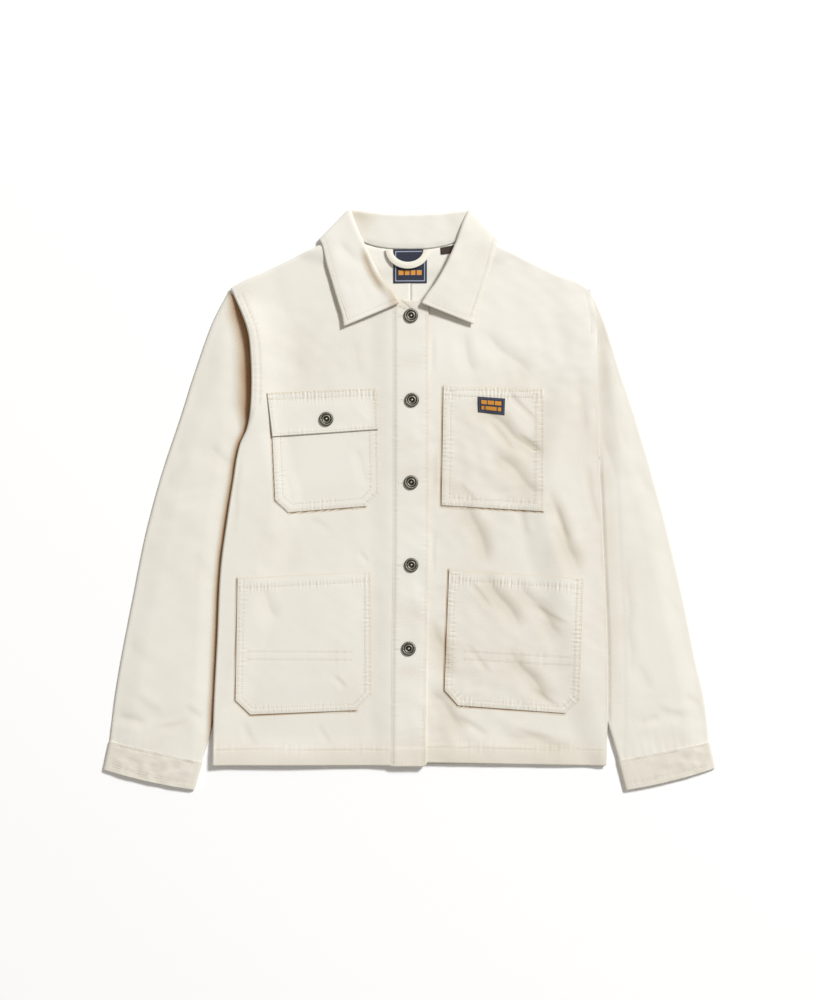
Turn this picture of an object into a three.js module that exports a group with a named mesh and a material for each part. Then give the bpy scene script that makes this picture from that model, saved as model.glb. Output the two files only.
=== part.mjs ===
// A women's chore jacket of washed cotton canvas, laid flat on its back with the front up.
// Millimetres. X runs to the wearer's left, Y towards the collar, Z up from the floor.
// Every piece of cloth is a wall around a middle surface: a grid of points that is worked out
// from the tables below, moved out by half the wall along its normals on both sides.

import * as THREE from 'three';

// Driving dimensions
const CLOTH = 1.2; // wall of the body and the sleeves
const TRIM = 1.0; // wall of pockets, flap, band and labels
const BAND_CLOTH = 1.6; // wall of the cuffs and the collar, which are two plies
const GAP = 0.3; // between two pieces at a seam
const LIE = 1.0; // between a piece and the middle of the folds that it lies on
const LAP = 0.45; // between the layers that lap at the middle, where the cloth is smooth
const ON_POCKET = 0.6; // between a pocket and what is sewn on it
const SEAM_RISE = 0.6; // between the back and the rolled edge of a front above it
const HEM_DEPTH = 20;
const HEM_RISE = 0.5; // the turned-up ply lifts the cloth inside the hem
const SLEEVE_LIFT = 3.95; // what the flat sleeve under the body lifts the back by
const COLLAR_LIFT = 2.4; // what the collar leaf under the back neck lifts the back by
const LOFT = 2.3; // air between back and front
const ARMHOLE_INSET = 6.5; // the back's armhole edge lies this far inside the front's
const ARMHOLE_RISE = 4.1; // how far the armhole's edge is lifted by the sleeve head under it
const TIP_RISE = 2.3; // the same at the shoulder tip
const BACK_HEM_Y = -317.4;
const BACK_SEAM_X = 1.8; // the centre-back seam lies a little off the middle
const SHOULDER_SLANT = 1.12; // how much longer the shoulder's roll is along Y than across it
const NEAR_SIDE = 236; // a place on the hem close to the side
const BUTTON_ACROSS = 17;
const BUTTON_HIGH = 4.2;

// The jacket's tables. Each row is one level or point of the garment as it lies.
const BODY_EDGES = [
  { y: -318.6, left: -236.4, right: 237.0 },
  { y: -254.4, left: -234.7, right: 238.6 },
  { y: -169.2, left: -230.4, right: 238.0 },
  { y: -84.0, left: -226.3, right: 234.4 },
  { y: -15.6, left: -217.2, right: 231.4 },
  { y: 26.4, left: -210.5, right: 229.4 },
  { y: 49.2, left: -207.1, right: 228.8 },
  { y: 67.2, left: -202.8, right: 228.2 },
  { y: 85.2, left: -194.8, right: 227.6 },
  { y: 106.8, left: -190.8, right: 227.0 },
  { y: 144.0, left: -189.2, right: 226.6 },
  { y: 181.2, left: -190.8, right: 226.2 },
  { y: 201.6, left: -193.6, right: 225.8 },
  { y: 222.0, left: -200.4, right: 224.6 },
  { y: 243.6, left: -210.0, right: 220.4 },
  { y: 253.2, left: -214.2, right: 217.2 },
];
// The top of the body: the shoulder falls from the neck point, and the front neckline dips.
const FRONT_TOP = [
  { x: 0, y: 236.0 },
  { x: 14, y: 238.5 },
  { x: 20, y: 243.0 },
  { x: 32, y: 252.0 },
  { x: 46, y: 272.0 },
  { x: 60, y: 303.0 },
  { x: 66, y: 327.0 },
  { x: 107, y: 306.6 },
  { x: 131, y: 295.2 },
  { x: 172, y: 275.0 },
  { x: 198, y: 263.6 },
  { x: 217, y: 252.6 },
];
const BACK_TOP = [
  { x: 0, y: 302.0 },
  { x: 40, y: 304.5 },
  { x: 58, y: 311.0 },
  { x: 66, y: 327.0 },
  { x: 107, y: 306.6 },
  { x: 131, y: 295.2 },
  { x: 172, y: 275.0 },
  { x: 198, y: 263.6 },
  { x: 217, y: 252.6 },
];
// How far in the flat sleeve reaches under the body, measured from the middle
const HIDDEN_SLEEVE = [
  { y: -330, x: 262 },
  { y: -300, x: 247 },
  { y: -273, x: 237 },
  { y: -180, x: 215 },
  { y: -90, x: 192 },
  { y: -20, x: 174 },
  { y: 10, x: 172 },
  { y: 40, x: 180 },
  { y: 85, x: 190 },
  { y: 110, x: 262 },
];
// The sleeves' two long edges, from the cuff seam to the armhole
const SLEEVE_RIGHT = [
  { outX: -359.4, outY: -288.8, inX: -248.8, inY: -314.2 },
  { outX: -353.5, outY: -240.0, inX: -237.0, inY: -273.6 },
  { outX: -344.6, outY: -186.0, inX: -222.0, inY: -205.0 },
  { outX: -330.6, outY: -114.0, inX: -204.0, inY: -130.0 },
  { outX: -316.2, outY: -42.0, inX: -188.0, inY: -62.0 },
  { outX: -297.0, outY: 30.0, inX: -177.0, inY: -8.0 },
  { outX: -273.6, outY: 100.8, inX: -177.0, inY: 28.0 },
  { outX: -256.8, outY: 153.6, inX: -183.0, inY: 45.0 },
  { outX: -236.0, outY: 212.0, inX: -193.0, inY: 55.0 },
  { outX: -216.0, outY: 251.0, inX: -203.0, inY: 60.0 },
];
const SLEEVE_LEFT = [
  { outX: 361.0, outY: -290.0, inX: 251.2, inY: -312.0 },
  { outX: 355.2, outY: -240.0, inX: 238.4, inY: -268.2 },
  { outX: 343.2, outY: -186.0, inX: 223.0, inY: -203.0 },
  { outX: 328.8, outY: -114.0, inX: 206.0, inY: -130.0 },
  { outX: 312.0, outY: -42.0, inX: 190.0, inY: -62.0 },
  { outX: 292.8, outY: 30.0, inX: 179.0, inY: -8.0 },
  { outX: 271.2, outY: 102.0, inX: 179.0, inY: 28.0 },
  { outX: 253.2, outY: 156.0, inX: 190.0, inY: 45.0 },
  { outX: 236.0, outY: 210.0, inX: 208.0, inY: 56.0 },
  { outX: 218.4, outY: 250.8, inX: 224.0, inY: 60.0 },
];
const CUFF_RIGHT = { outX: -367.2, outY: -323.3, inX: -257.3, inY: -347.8 };
const CUFF_LEFT = { outX: 368.6, outY: -321.5, inX: 259.7, inY: -348.2 };
// Soft troughs that the cloth of the fronts lies in; a negative depth is a ridge
const FOLDS = [
  { x1: 61, y1: 198, x2: 74, y2: 152, reach: 9, depth: 1.0 },
  { x1: 86, y1: 198, x2: 146, y2: 146, reach: 11, depth: 1.1 },
  { x1: 76, y1: 116, x2: 154, y2: 50, reach: 10, depth: 1.5 },
  { x1: 104, y1: 52, x2: 154, y2: 4, reach: 10, depth: 1.2 },
  { x1: 68, y1: -8, x2: 93, y2: -74, reach: 10, depth: 1.5 },
  { x1: 168, y1: 6, x2: 199, y2: -86, reach: 9, depth: 1.4 },
  { x1: 90, y1: -94, x2: 130, y2: -152, reach: 10, depth: 1.4 },
  { x1: 128, y1: -100, x2: 180, y2: -166, reach: 10, depth: 1.1 },
  { x1: 120, y1: -186, x2: 164, y2: -242, reach: 10, depth: 1.4 },
  { x1: 26, y1: -148, x2: 46, y2: -214, reach: 10, depth: 1.2 },
  { x1: 24, y1: -232, x2: 64, y2: -278, reach: 10, depth: 1.3 },
  { x1: 112, y1: -284, x2: 196, y2: -301, reach: 9, depth: 0.9 },
  { x1: -182, y1: -106, x2: -163, y2: -142, reach: 10, depth: 0.8 },
  { x1: -172, y1: -40, x2: -180, y2: -80, reach: 12, depth: 0.6 },
  { x1: -120, y1: 210, x2: -150, y2: 160, reach: 20, depth: 0.5 },
];
// The button band: its two edges lean a little towards the hem.
const PLACKET_EDGES = [
  { y: -319.8, left: -21.6, right: 18.6 },
  { y: -180, left: -20.6, right: 21.4 },
  { y: -60, left: -19.2, right: 23.4 },
  { y: 240, left: -19.2, right: 23.4 },
];
// Patch pockets: four corners each, and the size of the bottom corners that are cut off
const POCKETS = {
  chest_pocket_right: {
    topLeft: [-166.0, 118],
    topRight: [-38.2, 121],
    bottomLeft: [-160.0, -16.2],
    bottomRight: [-36.4, -6.4],
    cut: 16,
  },
  chest_pocket_left: {
    topLeft: [41.2, 136],
    topRight: [161.9, 133.8],
    bottomLeft: [38.8, -6.5],
    bottomRight: [160.8, -13.8],
    cut: 0,
  },
  hip_pocket_right: {
    topLeft: [-205.8, -94.0],
    topRight: [-45.6, -85.8],
    bottomLeft: [-208.6, -258.6],
    bottomRight: [-45.0, -251.8],
    cut: 18,
  },
  hip_pocket_left: {
    topLeft: [47.9, -83.8],
    topRight: [209.3, -94.0],
    bottomLeft: [41.8, -245.6],
    bottomRight: [204.0, -257.4],
    cut: 17,
  },
};
const FLAP = {
  topLeft: [-170.0, 128.4],
  topRight: [-38.2, 133.8],
  bottomLeft: [-163.9, 76.1],
  bottomRight: [-36.7, 84.8],
  cut: 0,
};
const PATCH = {
  topLeft: [82.3, 124.1],
  topRight: [115.3, 121.8],
  bottomLeft: [82.9, 105.5],
  bottomRight: [114.6, 101.9],
  cut: 0,
};
const NECK_LABEL = {
  topLeft: [-18.8, 301],
  topRight: [21.6, 301.4],
  bottomLeft: [-18.8, 260.4],
  bottomRight: [21.4, 260.6],
  cut: 0,
};
const SIZE_LABEL = {
  topLeft: [37.6, 303],
  topRight: [53.5, 306],
  bottomLeft: [38.4, 294.6],
  bottomRight: [54.4, 296.6],
  cut: 0,
};
const BUTTONS = [
  { name: 'button_1', x: 2.4, y: 221.2 },
  { name: 'button_2', x: 3.4, y: 120.0 },
  { name: 'button_3', x: 2.5, y: 21.1 },
  { name: 'button_4', x: 2.8, y: -78.0 },
  { name: 'button_5', x: -0.4, y: -178.3 },
];
const FLAP_BUTTON = { x: -99.2, y: 97.2 };

// Half of the collar, from its front end to the centre back: the line where it rolls over,
// its outer edge and its neck seam. turn is 90 where the leaf lies on top and -90 beneath.
const COLLAR_HALF = [
  { turn: 90, roll: [15.0, 235.5, 11.8], out: [77.2, 210.8, 9.8], seam: [19, 237.6, 9.7] },
  { turn: 90, roll: [21.5, 246.5, 11.8], out: [80.6, 222, 9.5], seam: [26, 243.5, 9.3] },
  { turn: 90, roll: [31.5, 261, 11.4], out: [86.5, 240, 9.1], seam: [38, 257, 8.4] },
  { turn: 90, roll: [43, 283, 10.8], out: [93, 262, 8.9], seam: [50, 279, 7.8] },
  { turn: 90, roll: [52, 304, 10.0], out: [99.5, 284, 8.7], seam: [57.5, 301, 7.2] },
  { turn: 84, roll: [61, 326, 8.6], out: [103.5, 302.5, 8.3], seam: [61.5, 314, 6.6] },
  { turn: 50, roll: [67.2, 341.2, 6.0], out: [106.6, 310, 7.2], seam: [63.4, 321.5, 5.6] },
  { turn: 0, roll: [69.0, 343.6, 4.4], out: [108.2, 312.2, 4.4], seam: [63.6, 324.5, 4.9] },
  { turn: -50, roll: [67.4, 344.2, 3.5], out: [106.6, 310.2, 1.7], seam: [62.2, 325.8, 4.75] },
  { turn: -84, roll: [62, 343.6, 3.1], out: [104, 307.4, 0.9], seam: [60.2, 321, 4.55] },
  { turn: -90, roll: [55, 342.8, 3.0], out: [90, 301.5, 0.8], seam: [57.5, 314.4, 4.65] },
  { turn: -90, roll: [42, 341.6, 3.0], out: [64, 295.5, 0.8], seam: [47, 309, 4.65] },
  { turn: -90, roll: [26, 340.6, 3.0], out: [34, 292, 0.8], seam: [30, 305.2, 4.65] },
  { turn: -90, roll: [0, 340.0, 3.0], out: [0, 291, 0.8], seam: [0, 303.4, 4.65] },
];
const COLLAR_ROLL = 2.2; // radius of the roll, to the middle of the wall

// Small mathematics
const lerp = (a, b, t) => a + (b - a) * t;
const clamp01 = (t) => Math.min(1, Math.max(0, t));

function smooth(from, to, value) {
  const t = clamp01((value - from) / (to - from));
  return t * t * (3 - 2 * t);
}

// Reads a table between its rows, with a smooth curve through them.
function along(rows, by, want, at) {
  const last = rows.length - 1;
  const rising = rows[last][by] > rows[0][by];
  let i = 0;
  while (i < last - 1 && (rising ? rows[i + 1][by] < at : rows[i + 1][by] > at)) i += 1;
  const span = rows[i + 1][by] - rows[i][by];
  const t = clamp01((at - rows[i][by]) / span);
  const slope = (k) => {
    const a = rows[Math.max(k - 1, 0)];
    const b = rows[Math.min(k + 1, last)];
    return (b[want] - a[want]) / (b[by] - a[by]);
  };
  return hermite(rows[i][want], rows[i + 1][want], slope(i) * span, slope(i + 1) * span, t);
}

function hermite(a, b, slopeA, slopeB, t) {
  const s = 1 - t;
  return a * s * s * (1 + 2 * t) + b * t * t * (1 + 2 * s) + slopeA * t * s * s - slopeB * t * t * s;
}

// Reads a table by row number, for edges that turn back on themselves.
function byRow(rows, want, t) {
  const last = rows.length - 1;
  const place = clamp01(t) * last;
  const i = Math.min(Math.floor(place), last - 1);
  const before = rows[Math.max(i - 1, 0)][want];
  const after = rows[Math.min(i + 2, last)][want];
  const a = rows[i][want];
  const b = rows[i + 1][want];
  return hermite(a, b, (b - before) / 2, (after - a) / 2, place - i);
}

// A quarter turn from a seam (0) up to the flat of the cloth (1), over the roll's reach
function rollUp(distance, reach) {
  const t = clamp01((distance - CLOTH / 2) / reach);
  return Math.sqrt(1 - (1 - t) * (1 - t));
}

// Places for grid lines across a roll of the given reach, as distances from the silhouette
function rollPlaces(reach, steps) {
  const places = [];
  for (let k = 0; k <= steps; k += 1) {
    places.push(CLOTH / 2 + reach * (1 - Math.cos((k / steps) * Math.PI / 2)));
  }
  return places;
}

// Places from start to end, the same distance apart
function evenPlaces(start, end, count) {
  return Array.from({ length: count }, (_, k) => lerp(start, end, (k + 1) / (count + 1)));
}

// The surfaces that the pieces lie on
const leftEdge = (y) => along(BODY_EDGES, 'y', 'left', y);
const rightEdge = (y) => along(BODY_EDGES, 'y', 'right', y);
const frontTop = (x) => along(FRONT_TOP, 'x', 'y', Math.abs(x));
const backTop = (x) => along(BACK_TOP, 'x', 'y', Math.abs(x));
const hemLine = (x) => (x < 20 ? -318.6 : lerp(-315.0, -319.0, clamp01((x - 20) / 217)));

// What lies under the back lifts it: a sleeve at each side and the collar leaf at the neck.
function backLift(x, y) {
  const reach = along(HIDDEN_SLEEVE, 'y', 'x', Math.max(-330, Math.min(110, y)));
  const overSleeve = smooth(reach - 46, reach - 5, Math.abs(x));
  const leafEdge = 289 + 18 * Math.max(0, (Math.abs(x) - 30) / 77) ** 1.5;
  const overLeaf = smooth(leafEdge - 27, leafEdge - 8, y);
  const inFromSide = x < 0 ? x - leftEdge(y) : rightEdge(y) - x;
  const headRise = lerp(ARMHOLE_RISE, TIP_RISE, smooth(222, 248, y)) * smooth(30, 60, y);
  const overHead = headRise * smooth(58, 9, inFromSide);
  return Math.max(SLEEVE_LIFT * overSleeve, overHead) + COLLAR_LIFT * overLeaf;
}

const backMiddle = (x, y) => CLOTH / 2 + backLift(x, y);

function foldDepth(x, y) {
  let depth = 0;
  for (const fold of FOLDS) {
    const dx = fold.x2 - fold.x1;
    const dy = fold.y2 - fold.y1;
    const length = Math.hypot(dx, dy);
    const t = ((x - fold.x1) * dx + (y - fold.y1) * dy) / (length * length);
    const across = ((x - fold.x1) * dy - (y - fold.y1) * dx) / length;
    const fade = smooth(-0.15, 0.25, t) * (1 - smooth(0.75, 1.15, t));
    depth += fold.depth * fade * Math.exp(-((across / fold.reach) ** 2));
  }
  return depth;
}

// The middle of the front cloth, before the band side is lifted over the other front
function frontMiddle(x, y) {
  const swell = 0.5 * Math.sin(x / 47 + 0.6) * Math.sin(y / 83 + 0.4) + 0.3 * Math.sin((x + y) / 61);
  const sides = 0.7 * smooth(150, 215, Math.abs(x));
  const hem = HEM_RISE * smooth(HEM_DEPTH + 3, HEM_DEPTH - 1, y - hemLine(x));
  return backMiddle(x, y) + CLOTH + LOFT + swell + sides + hem - foldDepth(x, y);
}

// The wearer's right front laps over the left one at the middle.
const lapRise = (x) => (CLOTH + LAP) * smooth(-48, -22, x);

const frontRightMiddle = (x, y) => frontMiddle(x, y) + lapRise(x);

// The height that the front's rolled edges come down to, just above the back's edge
const rolledEdge = (x, y) => CLOTH + SEAM_RISE + backLift(x, y);

// Turns a closed or open grid of middle points into a solid wall.
// across wraps round on a tube, whose rows are rings.
function wall(name, grid, thickness, material, tube = false) {
  const rows = grid.length;
  const columns = grid[0].length;
  const at = (i, j) => grid[i][tube ? (j + columns) % columns : j];
  const outside = [];
  const inside = [];
  for (let i = 0; i < rows; i += 1) {
    for (let j = 0; j < columns; j += 1) {
      const left = at(i, tube ? j - 1 : Math.max(j - 1, 0));
      const right = at(i, tube ? j + 1 : Math.min(j + 1, columns - 1));
      const below = at(Math.max(i - 1, 0), j);
      const above = at(Math.min(i + 1, rows - 1), j);
      const acrossWay = new THREE.Vector3().subVectors(right, left);
      const upWay = new THREE.Vector3().subVectors(above, below);
      const normal = new THREE.Vector3().crossVectors(acrossWay, upWay).normalize();
      outside.push(at(i, j).clone().addScaledVector(normal, thickness / 2));
      inside.push(at(i, j).clone().addScaledVector(normal, -thickness / 2));
    }
  }
  return solid(name, outside, inside, rows, columns, material, tube);
}

// A grid of upper points and one of lower points, closed round their edges
function solid(name, outside, inside, rows, columns, material, tube = false) {
  const count = rows * columns;
  const faces = [];
  const quad = (a, b, c, d) => faces.push(a, b, c, a, c, d);
  const spans = tube ? columns : columns - 1;
  for (let i = 0; i < rows - 1; i += 1) {
    for (let j = 0; j < spans; j += 1) {
      const a = i * columns + j;
      const b = i * columns + ((j + 1) % columns);
      const c = b + columns;
      const d = a + columns;
      quad(a, b, c, d);
      quad(count + a, count + d, count + c, count + b);
    }
  }
  for (let j = 0; j < spans; j += 1) {
    const next = (j + 1) % columns;
    const top = (rows - 1) * columns;
    quad(count + j, count + next, next, j);
    quad(top + j, top + next, count + top + next, count + top + j);
  }
  if (!tube) {
    for (let i = 0; i < rows - 1; i += 1) {
      const low = i * columns;
      const high = low + columns;
      quad(low, high, count + high, count + low);
      const lowEnd = low + columns - 1;
      const highEnd = high + columns - 1;
      quad(lowEnd, count + lowEnd, count + highEnd, highEnd);
    }
  }
  const geometry = new THREE.BufferGeometry();
  const points = [...outside, ...inside].flatMap((p) => [p.x, p.y, p.z]);
  geometry.setAttribute('position', new THREE.Float32BufferAttribute(points, 3));
  geometry.setIndex(faces);
  geometry.computeVertexNormals();
  const mesh = new THREE.Mesh(geometry, material);
  mesh.name = name;
  return mesh;
}

// Materials
const cloth = (color) => new THREE.MeshStandardMaterial({ color, roughness: 0.9, metalness: 0 });
const canvas = cloth('#efeadf');
const canvasPocket = cloth('#ece7da');
const labelCloth = cloth('#2b3040');
const sizeLabelCloth = cloth('#3a2620');
const loopTape = cloth('#f3eee2');
const pewter = new THREE.MeshStandardMaterial({ color: '#77746b', roughness: 0.45, metalness: 0.9 });

// The fronts: columns run from the side to the middle, rows from the hem to the shoulder.
function front(name, side, inner, sideReach, columns, rows, height) {
  const shoulderReach = 4;
  const steps = 3;
  const edge = (y) => (side < 0 ? -leftEdge(y) : rightEdge(y));
  const tipY = BODY_EDGES[BODY_EDGES.length - 1].y;
  const innerX = side * inner;
  const tip = edge(tipY);
  const seam = [];
  const grid = [];
  const topAt = frontTop(innerX);
  const hemWidth = edge(hemLine(side * NEAR_SIDE)) - innerX * side;
  const sideRoll = rollPlaces(sideReach, steps);
  const across = [...sideRoll, ...evenPlaces(sideRoll[steps], hemWidth, columns), hemWidth];
  const shoulderRoll = rollPlaces(shoulderReach, steps).map((d) => d * SHOULDER_SLANT);
  const heightAll = topAt - hemLine(innerX);
  const hemRow = HEM_DEPTH + 2;
  const up = [0, hemRow, ...evenPlaces(hemRow, heightAll - shoulderRoll[steps], rows)];
  for (let k = steps; k >= 0; k -= 1) up.push(heightAll - shoulderRoll[k]);
  up.forEach((climb) => {
    const v = climb / (heightAll - shoulderRoll[0]);
    const fromTop = heightAll - climb;
    const row = [];
    across.forEach((distance) => {
      const u = (distance - sideRoll[0]) / (hemWidth - sideRoll[0]);
      const point = coons(u, v, side, edge, innerX, tip, tipY, topAt, shoulderRoll[0]);
      const isShoulder = smooth(62, 68, point.topX);
      const bySide = rollUp(distance, sideReach);
      const byShoulder = lerp(1, rollUp(fromTop / SHOULDER_SLANT, shoulderReach), isShoulder);
      const low = rolledEdge(point.x, point.y);
      const flat = height(point.x, point.y);
      row.push(new THREE.Vector3(point.x, point.y, lerp(low, flat, bySide * byShoulder)));
    });
    grid.push(side < 0 ? row : row.reverse());
  });
  return wall(name, grid, CLOTH, canvas);
}

// A point of the panel that four edges bound: the side, the middle, the hem and the top
function coons(u, v, side, edge, innerX, tip, tipY, topAt, inset) {
  const rollInset = CLOTH / 2;
  const sideY = lerp(hemLine(side * NEAR_SIDE), tipY, v);
  const middleY = lerp(hemLine(innerX), topAt, v);
  const hemX = lerp(edge(hemLine(side * NEAR_SIDE)) - rollInset, innerX * side, u);
  const topX = lerp(tip - rollInset, innerX * side, u);
  const x = lerp(edge(sideY) - rollInset, innerX * side, u);
  const topY = frontTop(topX) - inset * smooth(60, 70, topX);
  const hemY = hemLine(side * hemX);
  const ruled = lerp(sideY, middleY, u);
  const corner = lerp(lerp(hemLine(side * NEAR_SIDE), hemLine(innerX), u), lerp(tipY, topAt, u), v);
  const y = ruled + lerp(hemY, topY, v) - corner;
  return { x: side * x, y, topX };
}

// The back halves: columns from the centre seam to the side
function back(name, side) {
  const seamX = side * BACK_SEAM_X + GAP / 2;
  const columns = 9;
  const grid = [];
  const yTip = BODY_EDGES[BODY_EDGES.length - 1].y;
  const levels = [0, ...evenPlaces(0, 0.88, 15), 0.88, 0.91, 0.94, 0.97, 1];
  for (const v of levels) {
    const row = [];
    const sideY = lerp(BACK_HEM_Y, yTip, v);
    for (let j = 0; j <= columns; j += 1) {
      const u = (j / columns) ** 0.75;
      const inset = ARMHOLE_INSET * smooth(48, 66, sideY);
      const reach = (side < 0 ? -leftEdge(sideY) : rightEdge(sideY)) - inset;
      const tipReach = (side < 0 ? -leftEdge(yTip) : rightEdge(yTip)) - ARMHOLE_INSET;
      const x = lerp(side * seamX, reach, u);
      const topX = lerp(side * seamX, tipReach, u);
      const centreY = lerp(BACK_HEM_Y, backTop(0), v);
      const ruled = lerp(centreY, sideY, u);
      const corner = lerp(BACK_HEM_Y, lerp(backTop(0), yTip, u), v);
      const y = ruled + lerp(BACK_HEM_Y, backTop(topX), v) - corner;
      row.push(new THREE.Vector3(side * x, y, backMiddle(side * x, y)));
    }
    grid.push(side < 0 ? row.reverse() : row);
  }
  return wall(name, grid, CLOTH, canvas);
}

// The middle height of a sleeve's upper layer, e outside the body's edge and d from its fold.
// At the armhole the sleeve's seam stands up by headRise beside the body's edge.
function sleeveUpper(e, d, y, headRise) {
  const atArmhole = smooth(75, 100, y) * smooth(246, 220, y) * smooth(-9, -4, e);
  const valley = 2.8 + headRise * atArmhole * Math.exp(-((Math.max(e, 0) / 6) ** 2));
  const crown = 2.5 * smooth(2, 26, e) * smooth(0, 30, d);
  const crease = 0.5 * Math.exp(-(((y + 262) / 9) ** 2)) * smooth(10, 40, e);
  return valley + crown - crease;
}

// A flattened tube between two long edges: rings of points from the cuff end to the other
function tubeGrid(rings, wallHalf, upperAt) {
  const roll = 3;
  const upperCount = 8;
  const lowerCount = 5;
  const turnSteps = 3;
  return rings.map((ring) => {
    const points = [];
    const width = ring.width;
    const put = (d, z) => {
      const place = ring.at(d / width);
      points.push(new THREE.Vector3(place.x, place.y, z));
    };
    const start = wallHalf + roll;
    const end = width - start;
    const low = wallHalf;
    for (let k = 0; k <= upperCount; k += 1) {
      const d = lerp(start, end, k / upperCount);
      const place = ring.at(d / width);
      put(d, upperAt(place, Math.min(d, width)));
    }
    for (let k = 1; k < turnSteps + 1; k += 1) {
      const angle = (k / (turnSteps + 1)) * Math.PI;
      const place = ring.at(end / width);
      const high = upperAt(place, end);
      put(end + roll * Math.sin(angle), lerp(low, high, (1 + Math.cos(angle)) / 2));
    }
    for (let k = 0; k <= lowerCount; k += 1) put(lerp(end, start, k / lowerCount), low);
    for (let k = 1; k < turnSteps + 1; k += 1) {
      const angle = (k / (turnSteps + 1)) * Math.PI;
      const place = ring.at(start / width);
      const high = upperAt(place, start);
      put(start - roll * Math.sin(angle), lerp(low, high, (1 - Math.cos(angle)) / 2));
    }
    return points;
  });
}

function sleeve(name, side, table, headRise) {
  const rows = 15;
  const last = table[table.length - 1];
  const edge = (y) => (side < 0 ? leftEdge(y) : rightEdge(y));
  const rings = [];
  for (let i = 0; i <= rows; i += 1) {
    const t = i / rows;
    const out = { x: byRow(table, 'outX', t), y: byRow(table, 'outY', t) };
    const inn = { x: byRow(table, 'inX', t), y: byRow(table, 'inY', t) };
    const bend = smooth(0.62, 1, t);
    rings.push({
      width: Math.hypot(out.x - inn.x, out.y - inn.y),
      at: (w) => {
        const armY = lerp(last.outY, last.inY, w);
        const tucked = 3 * smooth(0, 0.06, w);
        const armX = edge(armY) - side * tucked - lerp(last.outX, last.inX, w);
        const settle = smooth(0, 0.04, w) * smooth(1, 0.96, w);
        return { x: lerp(out.x, inn.x, w) + bend * armX * settle, y: lerp(out.y, inn.y, w) };
      },
    });
  }
  const upperAt = (place, d) => sleeveUpper(side * (place.x - edge(place.y)), d, place.y, headRise);
  const grid = tubeGrid(rings, CLOTH / 2, upperAt);
  return wall(name, side < 0 ? grid : grid.map((r) => r.slice().reverse()), CLOTH, canvas, true);
}

function cuff(name, side, seam, end) {
  const rows = 3;
  const proud = 0.6;
  const rings = [];
  for (let i = 0; i <= rows; i += 1) {
    const t = i / rows;
    const start = { outX: seam.outX + side * proud, inX: seam.inX - side * proud };
    const below = CLOTH / 2 + GAP;
    const out = { x: lerp(start.outX, end.outX, t), y: lerp(seam.outY - below, end.outY, t) };
    const inn = { x: lerp(start.inX, end.inX, t), y: lerp(seam.inY - below, end.inY, t) };
    rings.push({
      width: Math.hypot(out.x - inn.x, out.y - inn.y),
      at: (w) => ({
        x: lerp(out.x, inn.x, w),
        y: lerp(out.y, inn.y, w) - 2.4 * t * 4 * w * (1 - w),
      }),
    });
  }
  const upperAt = (place, d) => 4.1 + 1.2 * smooth(0, 30, d) * smooth(109, 70, d);
  const grid = tubeGrid(rings.reverse(), BAND_CLOTH / 2, upperAt);
  const ordered = side < 0 ? grid : grid.map((r) => r.slice().reverse());
  return wall(name, ordered, BAND_CLOTH, canvas, true);
}

// The collar: at each station a path runs from the neck seam over the roll to the outer edge.
function collar() {
  const mirrored = COLLAR_HALF.slice(0, -1).reverse();
  const stations = [
    ...COLLAR_HALF.map((row) => ({ ...row, side: -1 })),
    ...mirrored.map((row) => ({ ...row, side: 1 })),
  ];
  const grid = stations.map((row) => {
    const side = row.side;
    const placed = ([x, y, z]) => new THREE.Vector3(side * x, y, z);
    const roll = placed(row.roll);
    const out = placed(row.out);
    const seam = placed(row.seam);
    const away = new THREE.Vector3().subVectors(roll, out).setZ(0).normalize();
    const aside = new THREE.Vector3(side * 0.748, 0.663, 0);
    const angle = THREE.MathUtils.degToRad(row.turn);
    const toLeaf = aside.multiplyScalar(Math.cos(angle)).setZ(Math.sin(angle));
    const centre = roll.clone().addScaledVector(away, -COLLAR_ROLL);
    const standEnd = centre.clone().addScaledVector(toLeaf, -COLLAR_ROLL);
    const leafStart = centre.clone().addScaledVector(toLeaf, COLLAR_ROLL);
    const path = [];
    for (let k = 0; k < 3; k += 1) path.push(seam.clone().lerp(standEnd, k / 3));
    for (let k = 0; k <= 4; k += 1) {
      const turn = (k / 4) * Math.PI;
      const point = centre.clone().addScaledVector(toLeaf, -COLLAR_ROLL * Math.cos(turn));
      path.push(point.addScaledVector(away, COLLAR_ROLL * Math.sin(turn)));
    }
    for (let k = 1; k <= 5; k += 1) path.push(leafStart.clone().lerp(out, k / 5));
    return path;
  });
  return wall('collar', grid, BAND_CLOTH, canvas);
}

// A patch sewn on a panel: its points are the panel's, moved out.
function patch(name, shape, columns, rows, under, thickness, material) {
  const outside = [];
  const inside = [];
  const height = Math.hypot(
    shape.topLeft[0] - shape.bottomLeft[0],
    shape.topLeft[1] - shape.bottomLeft[1],
  );
  const width = Math.hypot(
    shape.topLeft[0] - shape.topRight[0],
    shape.topLeft[1] - shape.topRight[1],
  );
  const levels = [];
  if (shape.cut > 0) levels.push(0, shape.cut / height);
  else levels.push(0);
  levels.push(...evenPlaces(levels[levels.length - 1], 1, rows), 1);
  for (const v of levels) {
    const inset = Math.max(0, shape.cut - v * height) / width;
    for (let j = 0; j <= columns; j += 1) {
      const u = lerp(inset, 1 - inset, j / columns);
      const x = lerp(
        lerp(shape.bottomLeft[0], shape.bottomRight[0], u),
        lerp(shape.topLeft[0], shape.topRight[0], u),
        v,
      );
      const y = lerp(
        lerp(shape.bottomLeft[1], shape.bottomRight[1], u),
        lerp(shape.topLeft[1], shape.topRight[1], u),
        v,
      );
      const base = under(x, y);
      outside.push(new THREE.Vector3(x, y, base + thickness));
      inside.push(new THREE.Vector3(x, y, base));
    }
  }
  return solid(name, outside, inside, levels.length, columns + 1, material);
}

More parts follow.
